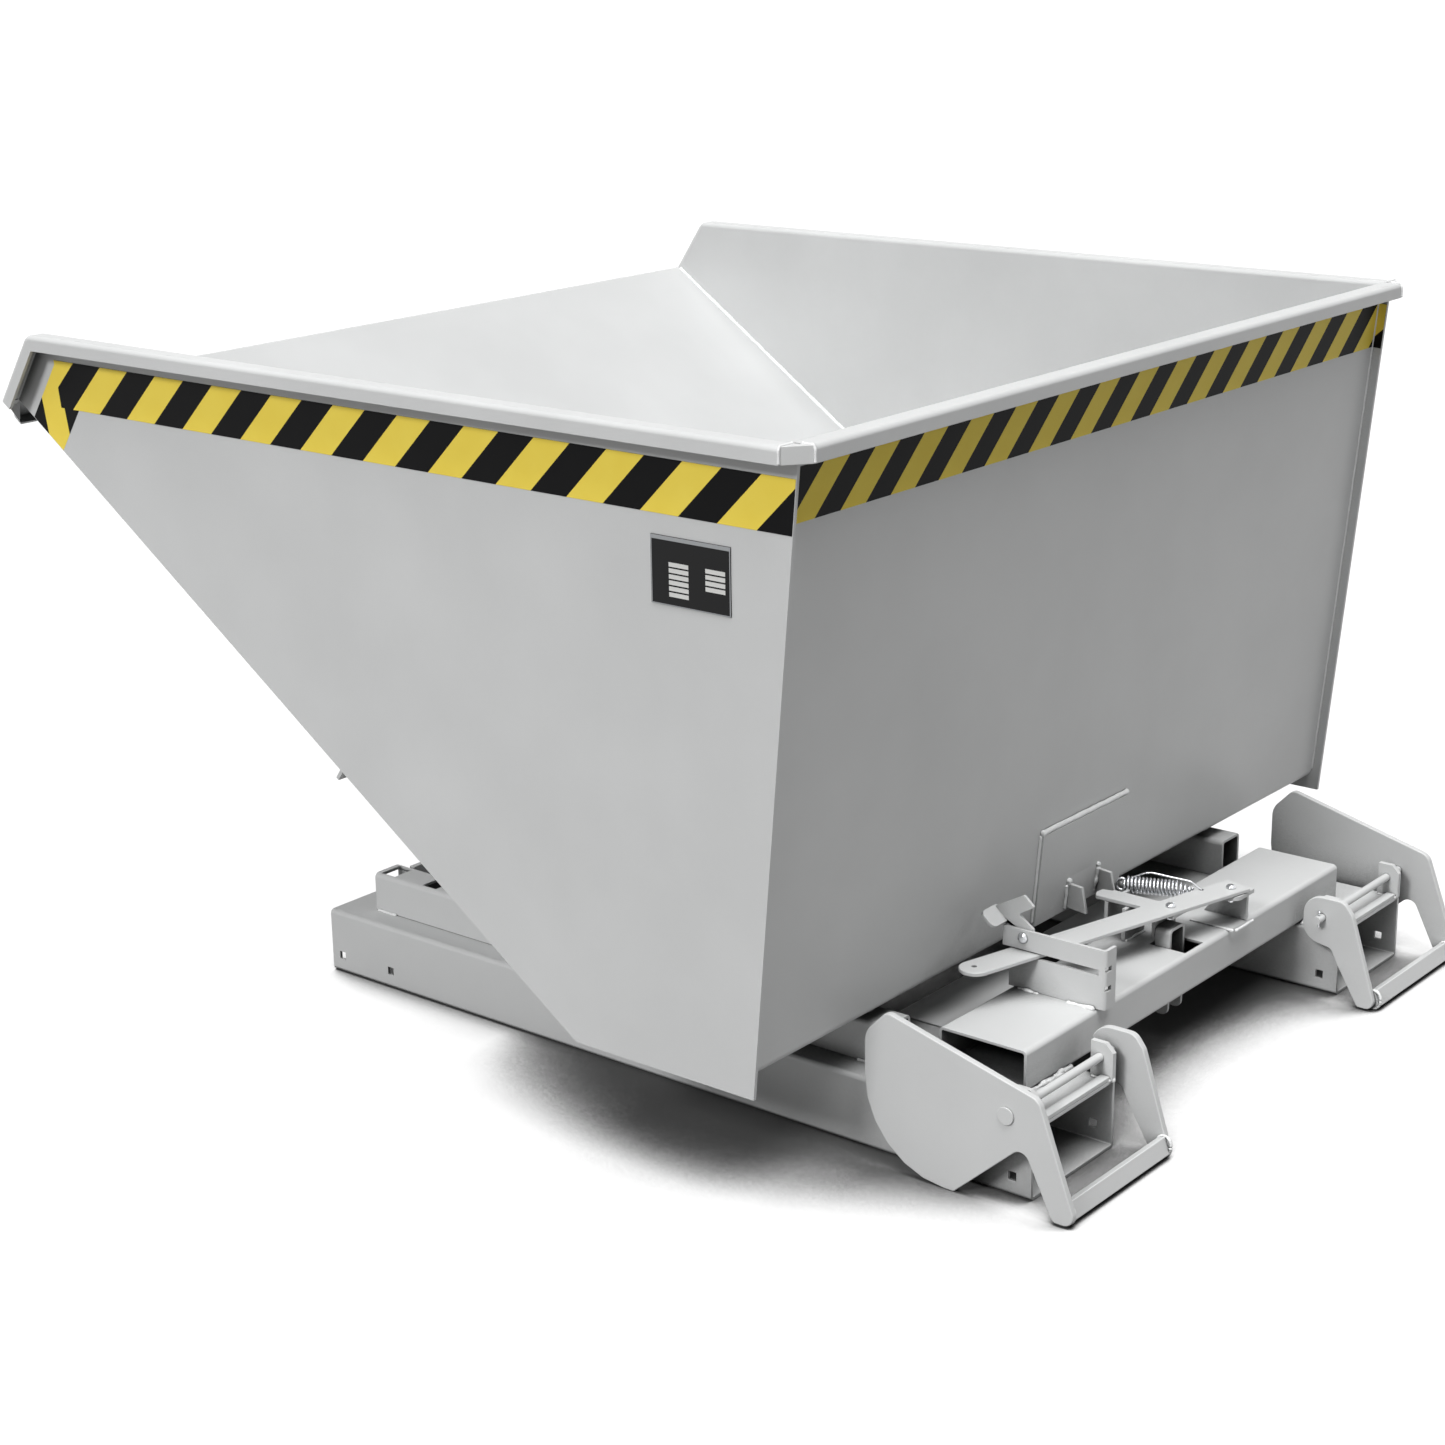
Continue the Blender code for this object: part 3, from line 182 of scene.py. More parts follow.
def zinc_plated(name, low, high):
    """Steel wire and bolts with a bright zinc plate. The eye sees a cool mirror-like metal, broken
    by a fine mottle of dull and bright grains."""
    material, tree, place = fresh(name)
    grain = add(tree, "ShaderNodeTexNoise", {"Vector": place, "Scale": per(0.9), "Detail": 3.0})
    colour = add(
        tree,
        "ShaderNodeMix",
        {"Factor": grain.outputs["Fac"], 6: linear(low), 7: linear(high)},
        data_type="RGBA",
    )
    dull = add(
        tree,
        "ShaderNodeMapRange",
        {"Value": grain.outputs["Fac"], "To Min": 0.1, "To Max": 0.24},
    )
    bump = add(
        tree,
        "ShaderNodeBump",
        {"Height": grain.outputs["Fac"], "Strength": 0.2, "Distance": 0.05 * MM},
    )
    metal = add(
        tree,
        "ShaderNodeBsdfPrincipled",
        {
            "Base Color": colour.outputs[2],
            "Metallic": 1.0,
            "Roughness": dull.outputs["Result"],
            "Normal": bump.outputs["Normal"],
        },
    )
    add(tree, "ShaderNodeOutputMaterial", {"Surface": metal.outputs["BSDF"]})
    return material


def vinyl_film(name, low, high, roughness, level):
    """Self-adhesive vinyl, printed and clear coated. The eye sees a full, even colour with a soft
    sheen that the plate's unevenness breaks up under the film."""
    material, tree, place = fresh(name)
    cloud = add(tree, "ShaderNodeTexNoise", {"Vector": place, "Scale": per(45), "Detail": 2.0})
    fine = add(tree, "ShaderNodeTexNoise", {"Vector": place, "Scale": per(1.5), "Detail": 2.0})
    colour = add(
        tree,
        "ShaderNodeMix",
        {"Factor": cloud.outputs["Fac"], 6: linear(low), 7: linear(high)},
        data_type="RGBA",
    )
    dull = add(
        tree,
        "ShaderNodeMapRange",
        {"Value": fine.outputs["Fac"], "To Min": roughness - 0.06, "To Max": roughness + 0.06},
    )
    ripple = add(
        tree,
        "ShaderNodeBump",
        {"Height": cloud.outputs["Fac"], "Strength": 0.4, "Distance": 0.6 * MM},
    )
    film = add(
        tree,
        "ShaderNodeBsdfPrincipled",
        {
            "Base Color": colour.outputs[2],
            "Roughness": dull.outputs["Result"],
            "Normal": ripple.outputs["Normal"],
            "IOR": 1.5,
            "Specular IOR Level": level,
        },
    )
    add(tree, "ShaderNodeOutputMaterial", {"Surface": film.outputs["BSDF"]})
    return material


def printed_sheet(name, low, high, roughness, metallic=0.0, level=0.5):
    """Thin printed metal sheet. The eye sees a flat satin colour with the fine grain of the
    print, or of the bare metal where metallic is 1."""
    material, tree, place = fresh(name)
    grain = add(tree, "ShaderNodeTexNoise", {"Vector": place, "Scale": per(1.2), "Detail": 3.0})
    colour = add(
        tree,
        "ShaderNodeMix",
        {"Factor": grain.outputs["Fac"], 6: linear(low), 7: linear(high)},
        data_type="RGBA",
    )
    dull = add(
        tree,
        "ShaderNodeMapRange",
        {"Value": grain.outputs["Fac"], "To Min": roughness - 0.05, "To Max": roughness + 0.05},
    )
    sheet = add(
        tree,
        "ShaderNodeBsdfPrincipled",
        {
            "Base Color": colour.outputs[2],
            "Metallic": metallic,
            "Specular IOR Level": level,
            "Roughness": dull.outputs["Result"],
        },
    )
    add(tree, "ShaderNodeOutputMaterial", {"Surface": sheet.outputs["BSDF"]})
    return material


grey_enamel = sprayed_enamel("light_grey_enamel", "#C6C7C7", "#CECFCF", 0.42)
# Metal that has run is glossier, with a coarser skin. Its lighter grey is a painted highlight,
# standing for the light that the beads' lumps catch.
weld_enamel_painted_highlight = sprayed_enamel(
    "enamel_over_weld_metal_painted_highlight", "#E2E3E3", "#ECEDED", 0.34, peel=0.05, blotch=12
)
# A plate that lies open to the light gets painted shade only in its closest corners.
plate_enamel = sprayed_enamel(
    "light_grey_enamel_on_open_plate", "#C6C7C7", "#CECFCF", 0.42, painted_shade_reach=12
)
bright_zinc = zinc_plated("bright_zinc_plate", "#CDCFD3", "#F4F5F7")
yellow_film = vinyl_film("yellow_vinyl_film", "#F3D752", "#FAE261", 0.45, 0.15)
black_film = vinyl_film("black_vinyl_film", "#0B0B0C", "#101011", 0.55, 0.08)
black_sheet = printed_sheet("black_printed_sheet", "#0D0D0E", "#131314", 0.5, level=0.2)
pale_print = printed_sheet("pale_printed_field", "#CFCFCC", "#DCDCDA", 0.5)
bare_edge = printed_sheet("bare_aluminium_edge", "#86888A", "#9C9EA0", 0.4, 1.0)

finish_of = {
    "light_grey_paint": grey_enamel,
    "bright_zinc": bright_zinc,
    "black_plate": black_sheet,
}


# ---------------------------------------------------------------- CAD nodes


def soften(made, width):
    """Rounds a piece's edges as its coat does, and shades its flat faces flat."""
    if width:
        soft = made.modifiers.new("soft_edges", "BEVEL")
        soft.width = width * MM
        soft.segments = 2
        soft.limit_method = "ANGLE"
        soft.angle_limit = math.radians(34)
    even = made.modifiers.new("even_shading", "WEIGHTED_NORMAL")
    even.weight = 100
    even.keep_sharp = True


def dress(node, edge):
    """Gives a CAD node its finish and soft edges. Its triangles are joined to whole faces first,
    so that only real edges are rounded."""
    data = node.data
    slot_name = data.materials[0].name.split(".")[0]
    data.materials.clear()
    data.materials.append(finish_of[slot_name])
    data.attributes.remove(data.attributes["custom_normal"])
    data.shade_smooth()
    weld = node.modifiers.new("joined_corners", "WELD")
    weld.merge_threshold = 0.01 * MM
    flats = node.modifiers.new("whole_faces", "DECIMATE")
    flats.decimate_type = "DISSOLVE"
    flats.angle_limit = math.radians(0.4)
    soften(node, edge)


usual_edge = 0.7
edge_of = {
    "trough": 0.8,
    "side_plate_right": 0.8,
    "side_plate_left": 0.8,
    "name_plate": 0.2,
    "roll_carrier": 0,
    "split_pin_right": 0,
    "split_pin_left": 0,
}
for name, node in nodes.items():
    dress(node, edge_of.get(name, usual_edge))


# ---------------------------------------------------------------- pieces


def piece(name, mesh, materials, body, smooth=True):
    """Turns a bmesh into an object that rides on a body. Without a body it rides on none, and
    nothing blends it between two bodies."""
    data = bpy.data.meshes.new(name)
    mesh.to_mesh(data)
    mesh.free()
    for material in materials:
        data.materials.append(material)
    if smooth:
        data.shade_smooth()
    made = bpy.data.objects.new(name, data)
    scene.collection.objects.link(made)
    if body:
        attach(made, body)
    return made


def skin(mesh, rings):
    """Closes the surface over a row of equal rings of vertices, with a flat face at each end."""
    count = len(rings[0])
    for ring, following in zip(rings, rings[1:]):
        for k in range(count):
            n = (k + 1) % count
            mesh.faces.new((ring[k], ring[n], following[n], following[k]))
    mesh.faces.new(rings[0][::-1])
    mesh.faces.new(rings[-1])


def solid(mesh, outlines):
    """A closed solid over a row of equal outlines, each a list of places in millimetres."""
    skin(mesh, [[mesh.verts.new(Vector(spot) * MM) for spot in outline] for outline in outlines])
    bmesh.ops.recalc_face_normals(mesh, faces=mesh.faces)


def prism(mesh, outline, axis, low, high):
    """A solid with this outline, drawn out along one axis. Its points give the other two axes."""
    at = "XYZ".index(axis)
    solid(mesh, [[(*spot[:at], reach, *spot[at:]) for spot in outline] for reach in (high, low)])


def raised(mesh, origin, along, across, outline, thick, index):
    """A thin layer on a flat face, with the material of this index. outline is in (along, across)
    millimetres from the origin."""
    out = along.cross(across)
    feet = [mesh.verts.new((origin + along * a + across * c) * MM) for a, c in outline]
    tops = [mesh.verts.new(foot.co + out * thick * MM) for foot in feet]
    faces = [mesh.faces.new(tops)]
    for i in range(len(outline)):
        j = (i + 1) % len(outline)
        faces.append(mesh.faces.new((feet[i], feet[j], tops[j], tops[i])))
    for face in faces:
        face.material_index = index


def evenly(points, step):
    """A path's points with others between them, at most a step apart, and the reach of each."""
    path, reaches, reach = [Vector(points[0])], [0.0], 0.0
    for start, end in zip(points, points[1:]):
        start, end = Vector(start), Vector(end)
        gap = (end - start).length
        count = max(1, math.ceil(gap / step))
        for i in range(1, count + 1):
            path.append(start.lerp(end, i / count))
            reaches.append(reach + gap * i / count)
        reach += gap
    return path, reaches


def sweep(mesh, path, sizes, sides=8):
    """A closed round rod along a path, as thick as sizes says at each point."""
    rings, before = [], None
    for i, (here, size) in enumerate(zip(path, sizes)):
        way = (path[min(i + 1, len(path) - 1)] - path[max(i - 1, 0)]).normalized()
        if before is None:
            aside = way.orthogonal().normalized()
        else:
            aside = (before - way * before.dot(way)).normalized()
        before = aside
        over = way.cross(aside)
        ring = []
        for k in range(sides):
            turn = math.tau * k / sides
            spot = here + (aside * math.cos(turn) + over * math.sin(turn)) * size
            ring.append(mesh.verts.new(spot))
        rings.append(ring)
    skin(mesh, rings)


def run(mesh, points, size, step=1.3, ripple=3.2, lump=0.16, ends=0.4):
    """A run of weld metal: close ripples, uneven height, and a blob where the arc began and
    stopped. size, step and ripple are in millimetres, lump and ends are shares of the size."""
    uneven_scale, drift_scale, ripple_depth = 120, 60, 0.07
    blob_reach, tip_reach, tip_share = 1.2, 0.8, 0.15
    points = [Vector(p) * MM for p in points]
    path, reaches = evenly(points, step * MM)
    total, size = reaches[-1], size * MM
    seed = points[0].x * 31 + points[0].y * 17 + points[0].z * 7
    sizes, moved = [], []
    for here, reach in zip(path, reaches):
        from_end = min(reach, total - reach)
        uneven = noise.noise(Vector((reach * uneven_scale, seed, 0.5)))
        blob = ends * math.exp(-((from_end / (blob_reach * size)) ** 2)) if total > size else 0
        close = math.sqrt(min(1.0, tip_share + from_end / (tip_reach * size)))
        beat = ripple_depth * math.sin(math.tau * reach / (ripple * MM))
        sizes.append(size * close * (1 + beat + lump * uneven + blob))
        shifts = [noise.noise(Vector((reach * drift_scale, seed, 3.0 + n))) for n in range(3)]
        moved.append(here + Vector(shifts) * size * lump)
    sweep(mesh, moved, sizes)


def welds(name, body, runs):
    """All the weld runs of one body, as one piece."""
    mesh = bmesh.new()
    for points, size, *manner in runs:
        run(mesh, points, size, **(manner[0] if manner else {}))
    # The beads' lighter enamel is a painted highlight.
    return piece(name, mesh, [weld_enamel_painted_highlight], body)


def both_sides(runs):
    """The runs and their mirror images."""
    return runs + [([(-x, y, z) for x, y, z in points], *rest) for points, *rest in runs]


def level(z, rows):
    """Straight runs at one height. A row has x and y of both ends, the size, and its manner."""
    return [([(x, y, z), (to_x, to_y, z)], *rest) for x, y, to_x, to_y, *rest in rows]


# Lines of the hopper's side view, as (y, z)
plate_x = 755.0
inner_x = 750.0
plate_foot_rear = Vector((522.5, 155.3))
plate_top_rear = Vector((600.6, 1000.0))
plate_foot_front = Vector((224.7, 155.3))
pouring_corner = Vector((-851.7, 899.0))
wall_way = (plate_top_rear - plate_foot_rear).normalized()
wall_out = Vector((wall_way.y, -wall_way.x))
slant_way = (plate_foot_front - pouring_corner).normalized()
edge_way = Vector((-slant_way.y, slant_way.x))
wall_inset = 15.0


def rear_edge(z):
    """How far back the rear edge of a side plate is at this height."""
    return plate_foot_rear.x + (z - plate_foot_rear.y) * wall_way.x / wall_way.y


def on_wall(x, z, proud=0.0):
    """A point on the outer face of the rear wall, at this height."""
    foot = plate_foot_rear - wall_out * (wall_inset - proud)
    place = foot + wall_way * ((z - foot.y) / wall_way.y)
    return Vector((x, place.x, place.y))


# ---------------------------------------------------------------- hazard tape


def clipped(outline, a, b, c):
    """The part of a flat outline on the side where a*x + b*y >= c."""
    kept = []
    for here, after in zip(outline, outline[1:] + outline[:1]):
        h = a * here[0] + b * here[1] - c
        f = a * after[0] + b * after[1] - c
        if h >= 0:
            kept.append(here)
        if (h > 0 > f) or (h < 0 < f):
            share = h / (h - f)
            kept.append(tuple(p + (q - p) * share for p, q in zip(here, after)))
    return kept


def tape(mesh, origin, along, across, outline, first, pitch, lean, film=0.25):
    """Striped film on a flat face, yellow from first on. outline is in (along, across)
    millimetres. Stripes lean along the film by lean for each millimetre across."""
    along, across = Vector(along).normalized(), Vector(across).normalized()
    reaches = [a - lean * c for a, c in outline]
    low = math.floor((min(reaches) - first) / pitch)
    high = math.ceil((max(reaches) - first) / pitch)
    for k in range(low, high):
        band = clipped(outline, 1, -lean, first + k * pitch)
        band = clipped(band, -1, lean, -(first + (k + 1) * pitch)) if len(band) > 2 else []
        if len(band) > 2:
            raised(mesh, Vector(origin), along, across, band, film, k % 2)


films = [yellow_film, black_film]


def side_tape(side, word):
    """The long tape under a side's rim. Its stripes were measured at the datum height. The far
    side's aren't in the photograph, and where they start is a guess."""
    datum, stripe, proud = 892.0, 60.08, 0.35
    first = {1: -721.9, -1: 717.9}[side]
    foot_front, foot_rear, top_front, top_rear = 894.0, 889.6, 962.6, 957.8
    outline = [
        (-746.9, foot_front - datum),
        (rear_edge(foot_rear) - 1, foot_rear - datum),
        (rear_edge(top_rear) - 1, top_rear - datum),
        (-756.0, top_front - datum),
    ]
    if side < 0:
        outline = [(-y, z) for y, z in outline][::-1]
    mesh = bmesh.new()
    origin = (side * (plate_x + proud), 0, datum)
    tape(mesh, origin, (0, side, 0), (0, 0, 1), outline, first, stripe, 1.0)
    piece(f"side_tape_{word}", mesh, films, "hopper", smooth=False)


def front_tape(side, word):
    """The short tape beside a side's front edge, laid along it. near and far are measured back
    from the front edge, and long up from the slanted edge."""
    near, far, long, cut_back = 46.6, 121.6, 108.5, 10
    first, stripe, film = 85.9, 68, 0.2
    corner = Vector((side * (plate_x + 0.05), *pouring_corner))
    up = Vector((0, *edge_way))
    back = Vector((0, *slant_way))
    outline = [(near, 1), (far, 1), (far, long - cut_back), (near, long)]
    mesh = bmesh.new()
    if side > 0:
        tape(mesh, corner, back, up, outline, first, stripe, -1.0, film)
    else:
        outline = [(a, c) for c, a in outline][::-1]
        tape(mesh, corner, up, back, outline, first, stripe, -1.0, film)
    piece(f"front_tape_{word}", mesh, films, "hopper", smooth=False)


def rear_tape():
    """The tape across the rear wall, and its two ends turned out along the side plates."""
    first, stripe, lean = 4.0, 51.1, 0.925
    foot, top, proud, gap = 898.0, 967.0, 0.1, 0.5
    across = Vector((0, *wall_way))
    out = Vector((0, *wall_out))
    height = (top - foot) / wall_way.y
    turned, width = wall_inset - 0.6, 2 * inner_x
    mesh = bmesh.new()
    for origin, along, low, high, start in (
        (on_wall(inner_x, foot, proud), Vector((-1, 0, 0)), gap, width - gap, first),
        (on_wall(inner_x - gap, foot, proud) + out * turned, -out, 0, turned, first + turned),
        (on_wall(0.35 - inner_x, foot, proud), out, 0, turned, first - width),
    ):
        outline = [(low, 0), (high, 0), (high, height), (low, height)]
        tape(mesh, origin, along, across, outline, start, stripe, lean)
    piece("rear_tape", mesh, films, "hopper", smooth=False)


for side, word in SIDES:
    side_tape(side, word)
for side, word in SIDES:
    front_tape(side, word)
rear_tape()


# ---------------------------------------------------------------- data plate


def name_plate_fields():
    """The data plate's pale blank fields in two columns, and its bare cut edges."""
    corner = Vector((756.85, 375.2, 778.4))
    wide, tall = 122.6, 85.0
    # Shares of the plate's height: top of the first row, pitch of the rows, height of a field
    first_top, pitch, field = 0.635, 0.088, 0.064
    head, cut, over, head_over = tall - 4.6, 1.0, 0.4, 0.6
    print_thick, edge_thick = 0.12, 0.1
    parts = []
    # Columns: left and right as shares of the plate's width, and how many rows
    for left, right, rows in ((0.225, 0.475, 6), (0.69, 0.938, 4)):
        for row in range(rows):
            top = tall * (first_top - pitch * row)
            low = top - tall * field
            parts.append((left * wide, right * wide, low, top, print_thick, 0))
    parts += [
        (-over, wide + over, -over, cut, edge_thick, 1),
        (-over, cut, cut, head, edge_thick, 1),
        (wide - cut, wide + over, cut, head, edge_thick, 1),
        (-head_over, wide + head_over, head, tall + over, edge_thick, 1),
    ]
    mesh = bmesh.new()
    for left, right, low, high, thick, index in parts:
        outline = [(left, low), (right, low), (right, high), (left, high)]
        raised(mesh, corner, Vector((0, 1, 0)), Vector((0, 0, 1)), outline, thick, index)
    piece("name_plate_fields", mesh, [pale_print, bare_edge], "hopper", smooth=False)


name_plate_fields()


# ---------------------------------------------------------------- welds

SEAM = {"step": 2.4, "ripple": 7}
CALM = {"lump": 0.08, "ends": 0.1}
LUMPY = {"lump": 0.5}
ROUGH = {"ends": 0.0, "lump": 0.6}


def hopper_runs():
    """The hopper's seams: size of each, and its manner where it isn't the usual one."""
    inside = inner_x - 0.8
    wall_edge = inner_x - 0.6
    floor_start = pouring_corner + edge_way * 21.0
    front = floor_start + slant_way * 8
    bend = floor_start + slant_way * 1281.0
    rim = 1000.2
    runs = both_sides(
        [
            # floor, bottom and rear wall along the sides, inside the hopper
            ([(inside, *front), (inside, *bend), (inside, 497, 181.8)], 4.2, SEAM),
            ([(inside, 504, 186), (inside, 579, 985)], 3.2, SEAM),
            # rear wall between the edges of the sides, outside
            ([on_wall(wall_edge, 190), on_wall(wall_edge, 976)], 2.0, {"step": 3, "ripple": 6}),
            # corner patches on the rims
            (
                [(x, 592, z) for x, z in ((756, rim), (781, rim), (783.4, 995), (783.4, 979))],
                1.7,
            ),
            (
                [(750.2, y, z) for y, z in ((601, rim), (616.5, rim), (619.9, 995), (619.9, 979))],
                1.7,
            ),
        ]
    )
    # doubler plate on the rear wall: its top bead, then its sides
    top_bead = [on_wall(101.5, 322.8, 2.4), on_wall(-131, 322.8, 2.4)]
    runs.append((top_bead, 4.2, {"lump": 0.12, "ends": 0.35}))
    for x in (100.6, -130.6):
        runs.append(([on_wall(x, 320, 0.6), on_wall(x, 184, 0.6)], 2.9, CALM))
    # catch cheeks on the doubler: x, height and how far proud, at both ends, then the size
    for low, high, size in (
        ((22, 184, 6.2), (22, 222, 6.2), 3.4),
        ((18, 219, 6.8), (17, 231, 6.4), 4.4),
        ((-53, 187, 6.8), (-60, 226, 6.6), 4.0),
        ((-60, 220, 6.8), (-61, 231, 6.4), 4.4),
    ):
        runs.append(([on_wall(*low), on_wall(*high)], size, LUMPY))
    return runs


def frame_runs():
    """The frame's seams on the pockets and on the beam."""
    beam_top, pocket_top = 160.6, 100.4
    on_pockets = [
        # beam on the pockets: ends and rear foot
        (434.6, 590, 434.6, 716, 2.6),
        (434.6, 719.6, 322, 719.6, 4.2, {**ROUGH, "ripple": 5}),
        (370, 721.4, 324, 721, 3.6, ROUGH),
        # yoke ears on the pockets
        (503.6, 756, 503.6, 786, 2.2),
        (514.2, 756, 514.2, 786, 2.2),
        (333.4, 756, 333.4, 786, 2.2),
        (322.8, 756, 322.8, 786, 2.2),
        (505, 753.6, 513, 753.6, 2.2),
        (325, 786.2, 331, 786.2, 3.0, {"lump": 0.3}),
        # tracks on the pockets
        (478, -435, 478, -395, 2.6),
        (478, 100, 478, 140, 2.6),
        (478, 480, 478, 522, 2.6),
        (422, -300, 422, -260, 2.6),
    ]
    guide_bracket = [
        (
            [(262.6, 592, 159.6), (262.2, 609, 160), (262.8, 626, 159.8)],
            3.2,
            {**ROUGH, "lump": 0.55},
        ),
        ([(264, 618, 159.4), (263, 628, 159.8)], 3.0, {**ROUGH, "lump": 0.5}),
        ([(262.6, 672, 159.4), (263.4, 694, 159.8), (262.6, 717, 159.6)], 3.4, ROUGH),
        ([(264.6, 700, 159.2), (264, 716, 159.8)], 3.6, ROUGH),
    ]
    on_beam = [
        # the bracket's inner side
        (255.2, 600, 255.2, 700, 2.0),
        # latch rest, lever support and pivot bracket
        (-57, 588.8, 20, 588.8, 2.6, {"lump": 0.4}),
        (-24, 623.4, 29, 623.4, 2.6, {"lump": 0.4}),
        (-152, 728.4, -101, 728.4, 2.2),
        (-98.8, 655, -98.8, 726, 2.2),
    ]
    return both_sides(level(pocket_top, on_pockets)) + guide_bracket + level(beam_top, on_beam)


def yoke_runs(side):
    """A yoke's seams, all round its bar where that meets the arm and the plate."""
    bar_y, bar_z, wide, tall, parts = 853, 16.5, 10.6, 14, 16
    turns = [math.tau * k / parts for k in range(parts + 1)]
    return [
        (
            [(side * x, bar_y + wide * math.cos(t), bar_z + tall * math.sin(t)) for t in turns],
            2.3,
            {"ends": 0.0, "lump": 0.45},
        )
        for x in (304.6, 543.4)
    ]


welds("hopper_welds", "hopper", hopper_runs())
welds("frame_welds", "frame", frame_runs())
for side, word in SIDES:
    welds(f"yoke_{word}_welds", f"yoke_{word}", yoke_runs(side))


# ---------------------------------------------------------------- tension spring


eye = Vector((-45, 571, 213.8))
lever_hole = Vector((-88, 678, 213.8))
spring_way = (lever_hole - eye).normalized()
spring_side = Vector((spring_way.y, -spring_way.x, 0))
spring_span = (lever_hole - eye).length


def on_spring(reach, rise=0.0, over=0.0):
    """A point beside the spring's axis, this far from the eye."""
    place = eye + spring_way * reach + spring_side * over
    return Vector((place.x, place.y, place.z + rise)) * MM


def curved(points, parts=8):
    """A smooth line through the points (Catmull-Rom)."""
    line = []
    for i in range(len(points) - 1):
        before, here = points[max(i - 1, 0)], points[i]
        after, last = points[i + 1], points[min(i + 2, len(points) - 1)]
        for k in range(parts):
            t = k / parts
            spot = 2 * here + (after - before) * t
            spot += (2 * before - 5 * here + 4 * after - last) * t**2
            spot += (3 * here - before - 3 * after + last) * t**3
            line.append(spot / 2)
    return [*line, points[-1]]


def wound_spring():
    """The lever's tension spring: a ring round the ear, thirteen close coils, a narrowing end, and
    a long wire that arches over the coils down to the lever's hole."""
    wire, arch_wire, ring, coil = 1.8, 1.35, 7.4, 11.0
    turns, narrow, steps = 13, 4, 22
    start, pitch, narrow_pitch = 9.5, 5.36, 6
    shrink_in, shrink_out = 3.4, 0.19
    ring_from, ring_sweep, ring_steps, ring_tall = 205, 320, 21, 1.15
    line = []
    for i in range(ring_steps + 1):
        share = i / ring_steps
        angle = math.radians(ring_from + ring_sweep * share)
        rise = ring * ring_tall * math.sin(angle)
        line.append(on_spring(-ring * math.cos(angle), rise, wire * (1 - 2 * share)))
    for i in range(-steps, (turns + narrow) * steps + 1):
        turn = i / steps
        past = max(0.0, turn - turns)
        size = coil + min(0.0, turn) * shrink_in - coil * shrink_out * past
        reach = start + pitch * min(turn, turns) + narrow_pitch * past
        angle = math.tau * turn
        line.append(on_spring(reach, size * math.cos(angle), size * math.sin(angle)))
    mesh = bmesh.new()
    sweep(mesh, line, [wire * MM] * len(line), 10)
    # The arch, as reach from the eye and rise over the axis
    arch = [(13, 7), (15, 11), (24, 15.2), (31, 18.6), (38, 20.6), (45, 21), (57, 19.2), (79, 16)]
    arch += [(96, 13.6), (102, 11.4), (108, 6.6)]
    arch += [(spring_span - 1.2, 2.4), (spring_span - 0.4, -1), (spring_span - 0.6, -7)]
    bend = curved([on_spring(reach, rise) for reach, rise in arch])
    sweep(mesh, bend, [arch_wire * MM] * len(bend), 10)
    made = piece("wound_spring", mesh, [bright_zinc], None)
    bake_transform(made)
    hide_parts("tension_spring")


# ---------------------------------------------------------------- sheet parts and bolt heads


def latch_rest():
    """The plate under the latch arm, with a tab bent forwards that the spring's ring hooks
    round."""
    front, rear, foot, top = 582.5, 588.5, 160.6, 209.6
    mesh = bmesh.new()
    prism(mesh, [(-58, foot), (21, foot), (21, top), (-58, top)], "Y", front, rear)
    # The tab's section, as (y, z): over the plate's top, forwards, and up into a hook
    tab = [(rear, 203), (rear, 211), (584.5, 215.2), (574.5, 215.6), (571.2, 217.4)]
    tab += [(568.2, 217.4), (568.2, 213.4), (572.4, 211), (581, 210.6), (582.6, 208.5)]
    tab += [(582.6, 203)]
    prism(mesh, tab, "X", -51.5, -43.5)
    made = piece("latch_rest_with_tab", mesh, [grey_enamel], "frame")
    soften(made, 0.8)
    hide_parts("latch_rest")


def gusset_plate(name, side):
    """The flat plate in front of the beam's end, level with the pocket's top and welded to its
    inner edge."""
    near, far = sorted((side * 60, side * 319.2))
    front, rear, under, top = 430, 582.2, 96.5, 100.2
    mesh = bmesh.new()
    prism(mesh, [(near, front), (far, front), (far, rear), (near, rear)], "Z", under, top)
    made = piece(name, mesh, [plate_enamel], "frame")
    soften(made, 0.7)


def thumb_tab():
    """The pawl's thumb tab, a little wider than the bent tab under it and rounded at its
    corners."""
    foot = Vector((0, 548.3, 264.2))
    way = Vector((0, 17.2, -14.6)).normalized()
    over = Vector((0, 2.7, 3.2)).normalized()
    inner, outer, low, high, radius = 250.4, 289.0, -3.0, 25.6, 10.0
    under, top, steps = -0.5, 4.7, 6
    outline = [(inner, low)]
    for middle, first in ((low + radius, -90), (high - radius, 0)):
        for k in range(steps + 1):
            turn = math.radians(first + 90 * k / steps)
            x = outer - radius + radius * math.cos(turn)
            outline.append((x, middle + radius * math.sin(turn)))
    outline.append((inner, high))
    mesh = bmesh.new()
    sheets = []
    for lift in (top, under):
        sheets.append([foot + Vector((x, 0, 0)) + way * s + over * lift for x, s in outline])
    solid(mesh, sheets)
    made = piece("pawl_thumb_tab", mesh, [grey_enamel], "pawl")
    soften(made, 0.8)


def rim_gusset(name, side):
    """The small plate that closes the rim's channel at the front corner, down to the lip's hem."""
    thick = 2
    corners = [(778.6, -846.2, 895), (758, -851, 898.4), (751, -849, 897), (749.8, -845, 906)]
    corners += [(749.8, -868.9, 871), (750.2, -855, 858.6)]
    front = [Vector((side * x, y, z)) for x, y, z in corners]
    out = (front[1] - front[0]).cross(front[4] - front[0]).normalized() * thick
    mesh = bmesh.new()
    solid(mesh, [[spot - out for spot in front], front])
    piece(name, mesh, [grey_enamel], "hopper", smooth=False)


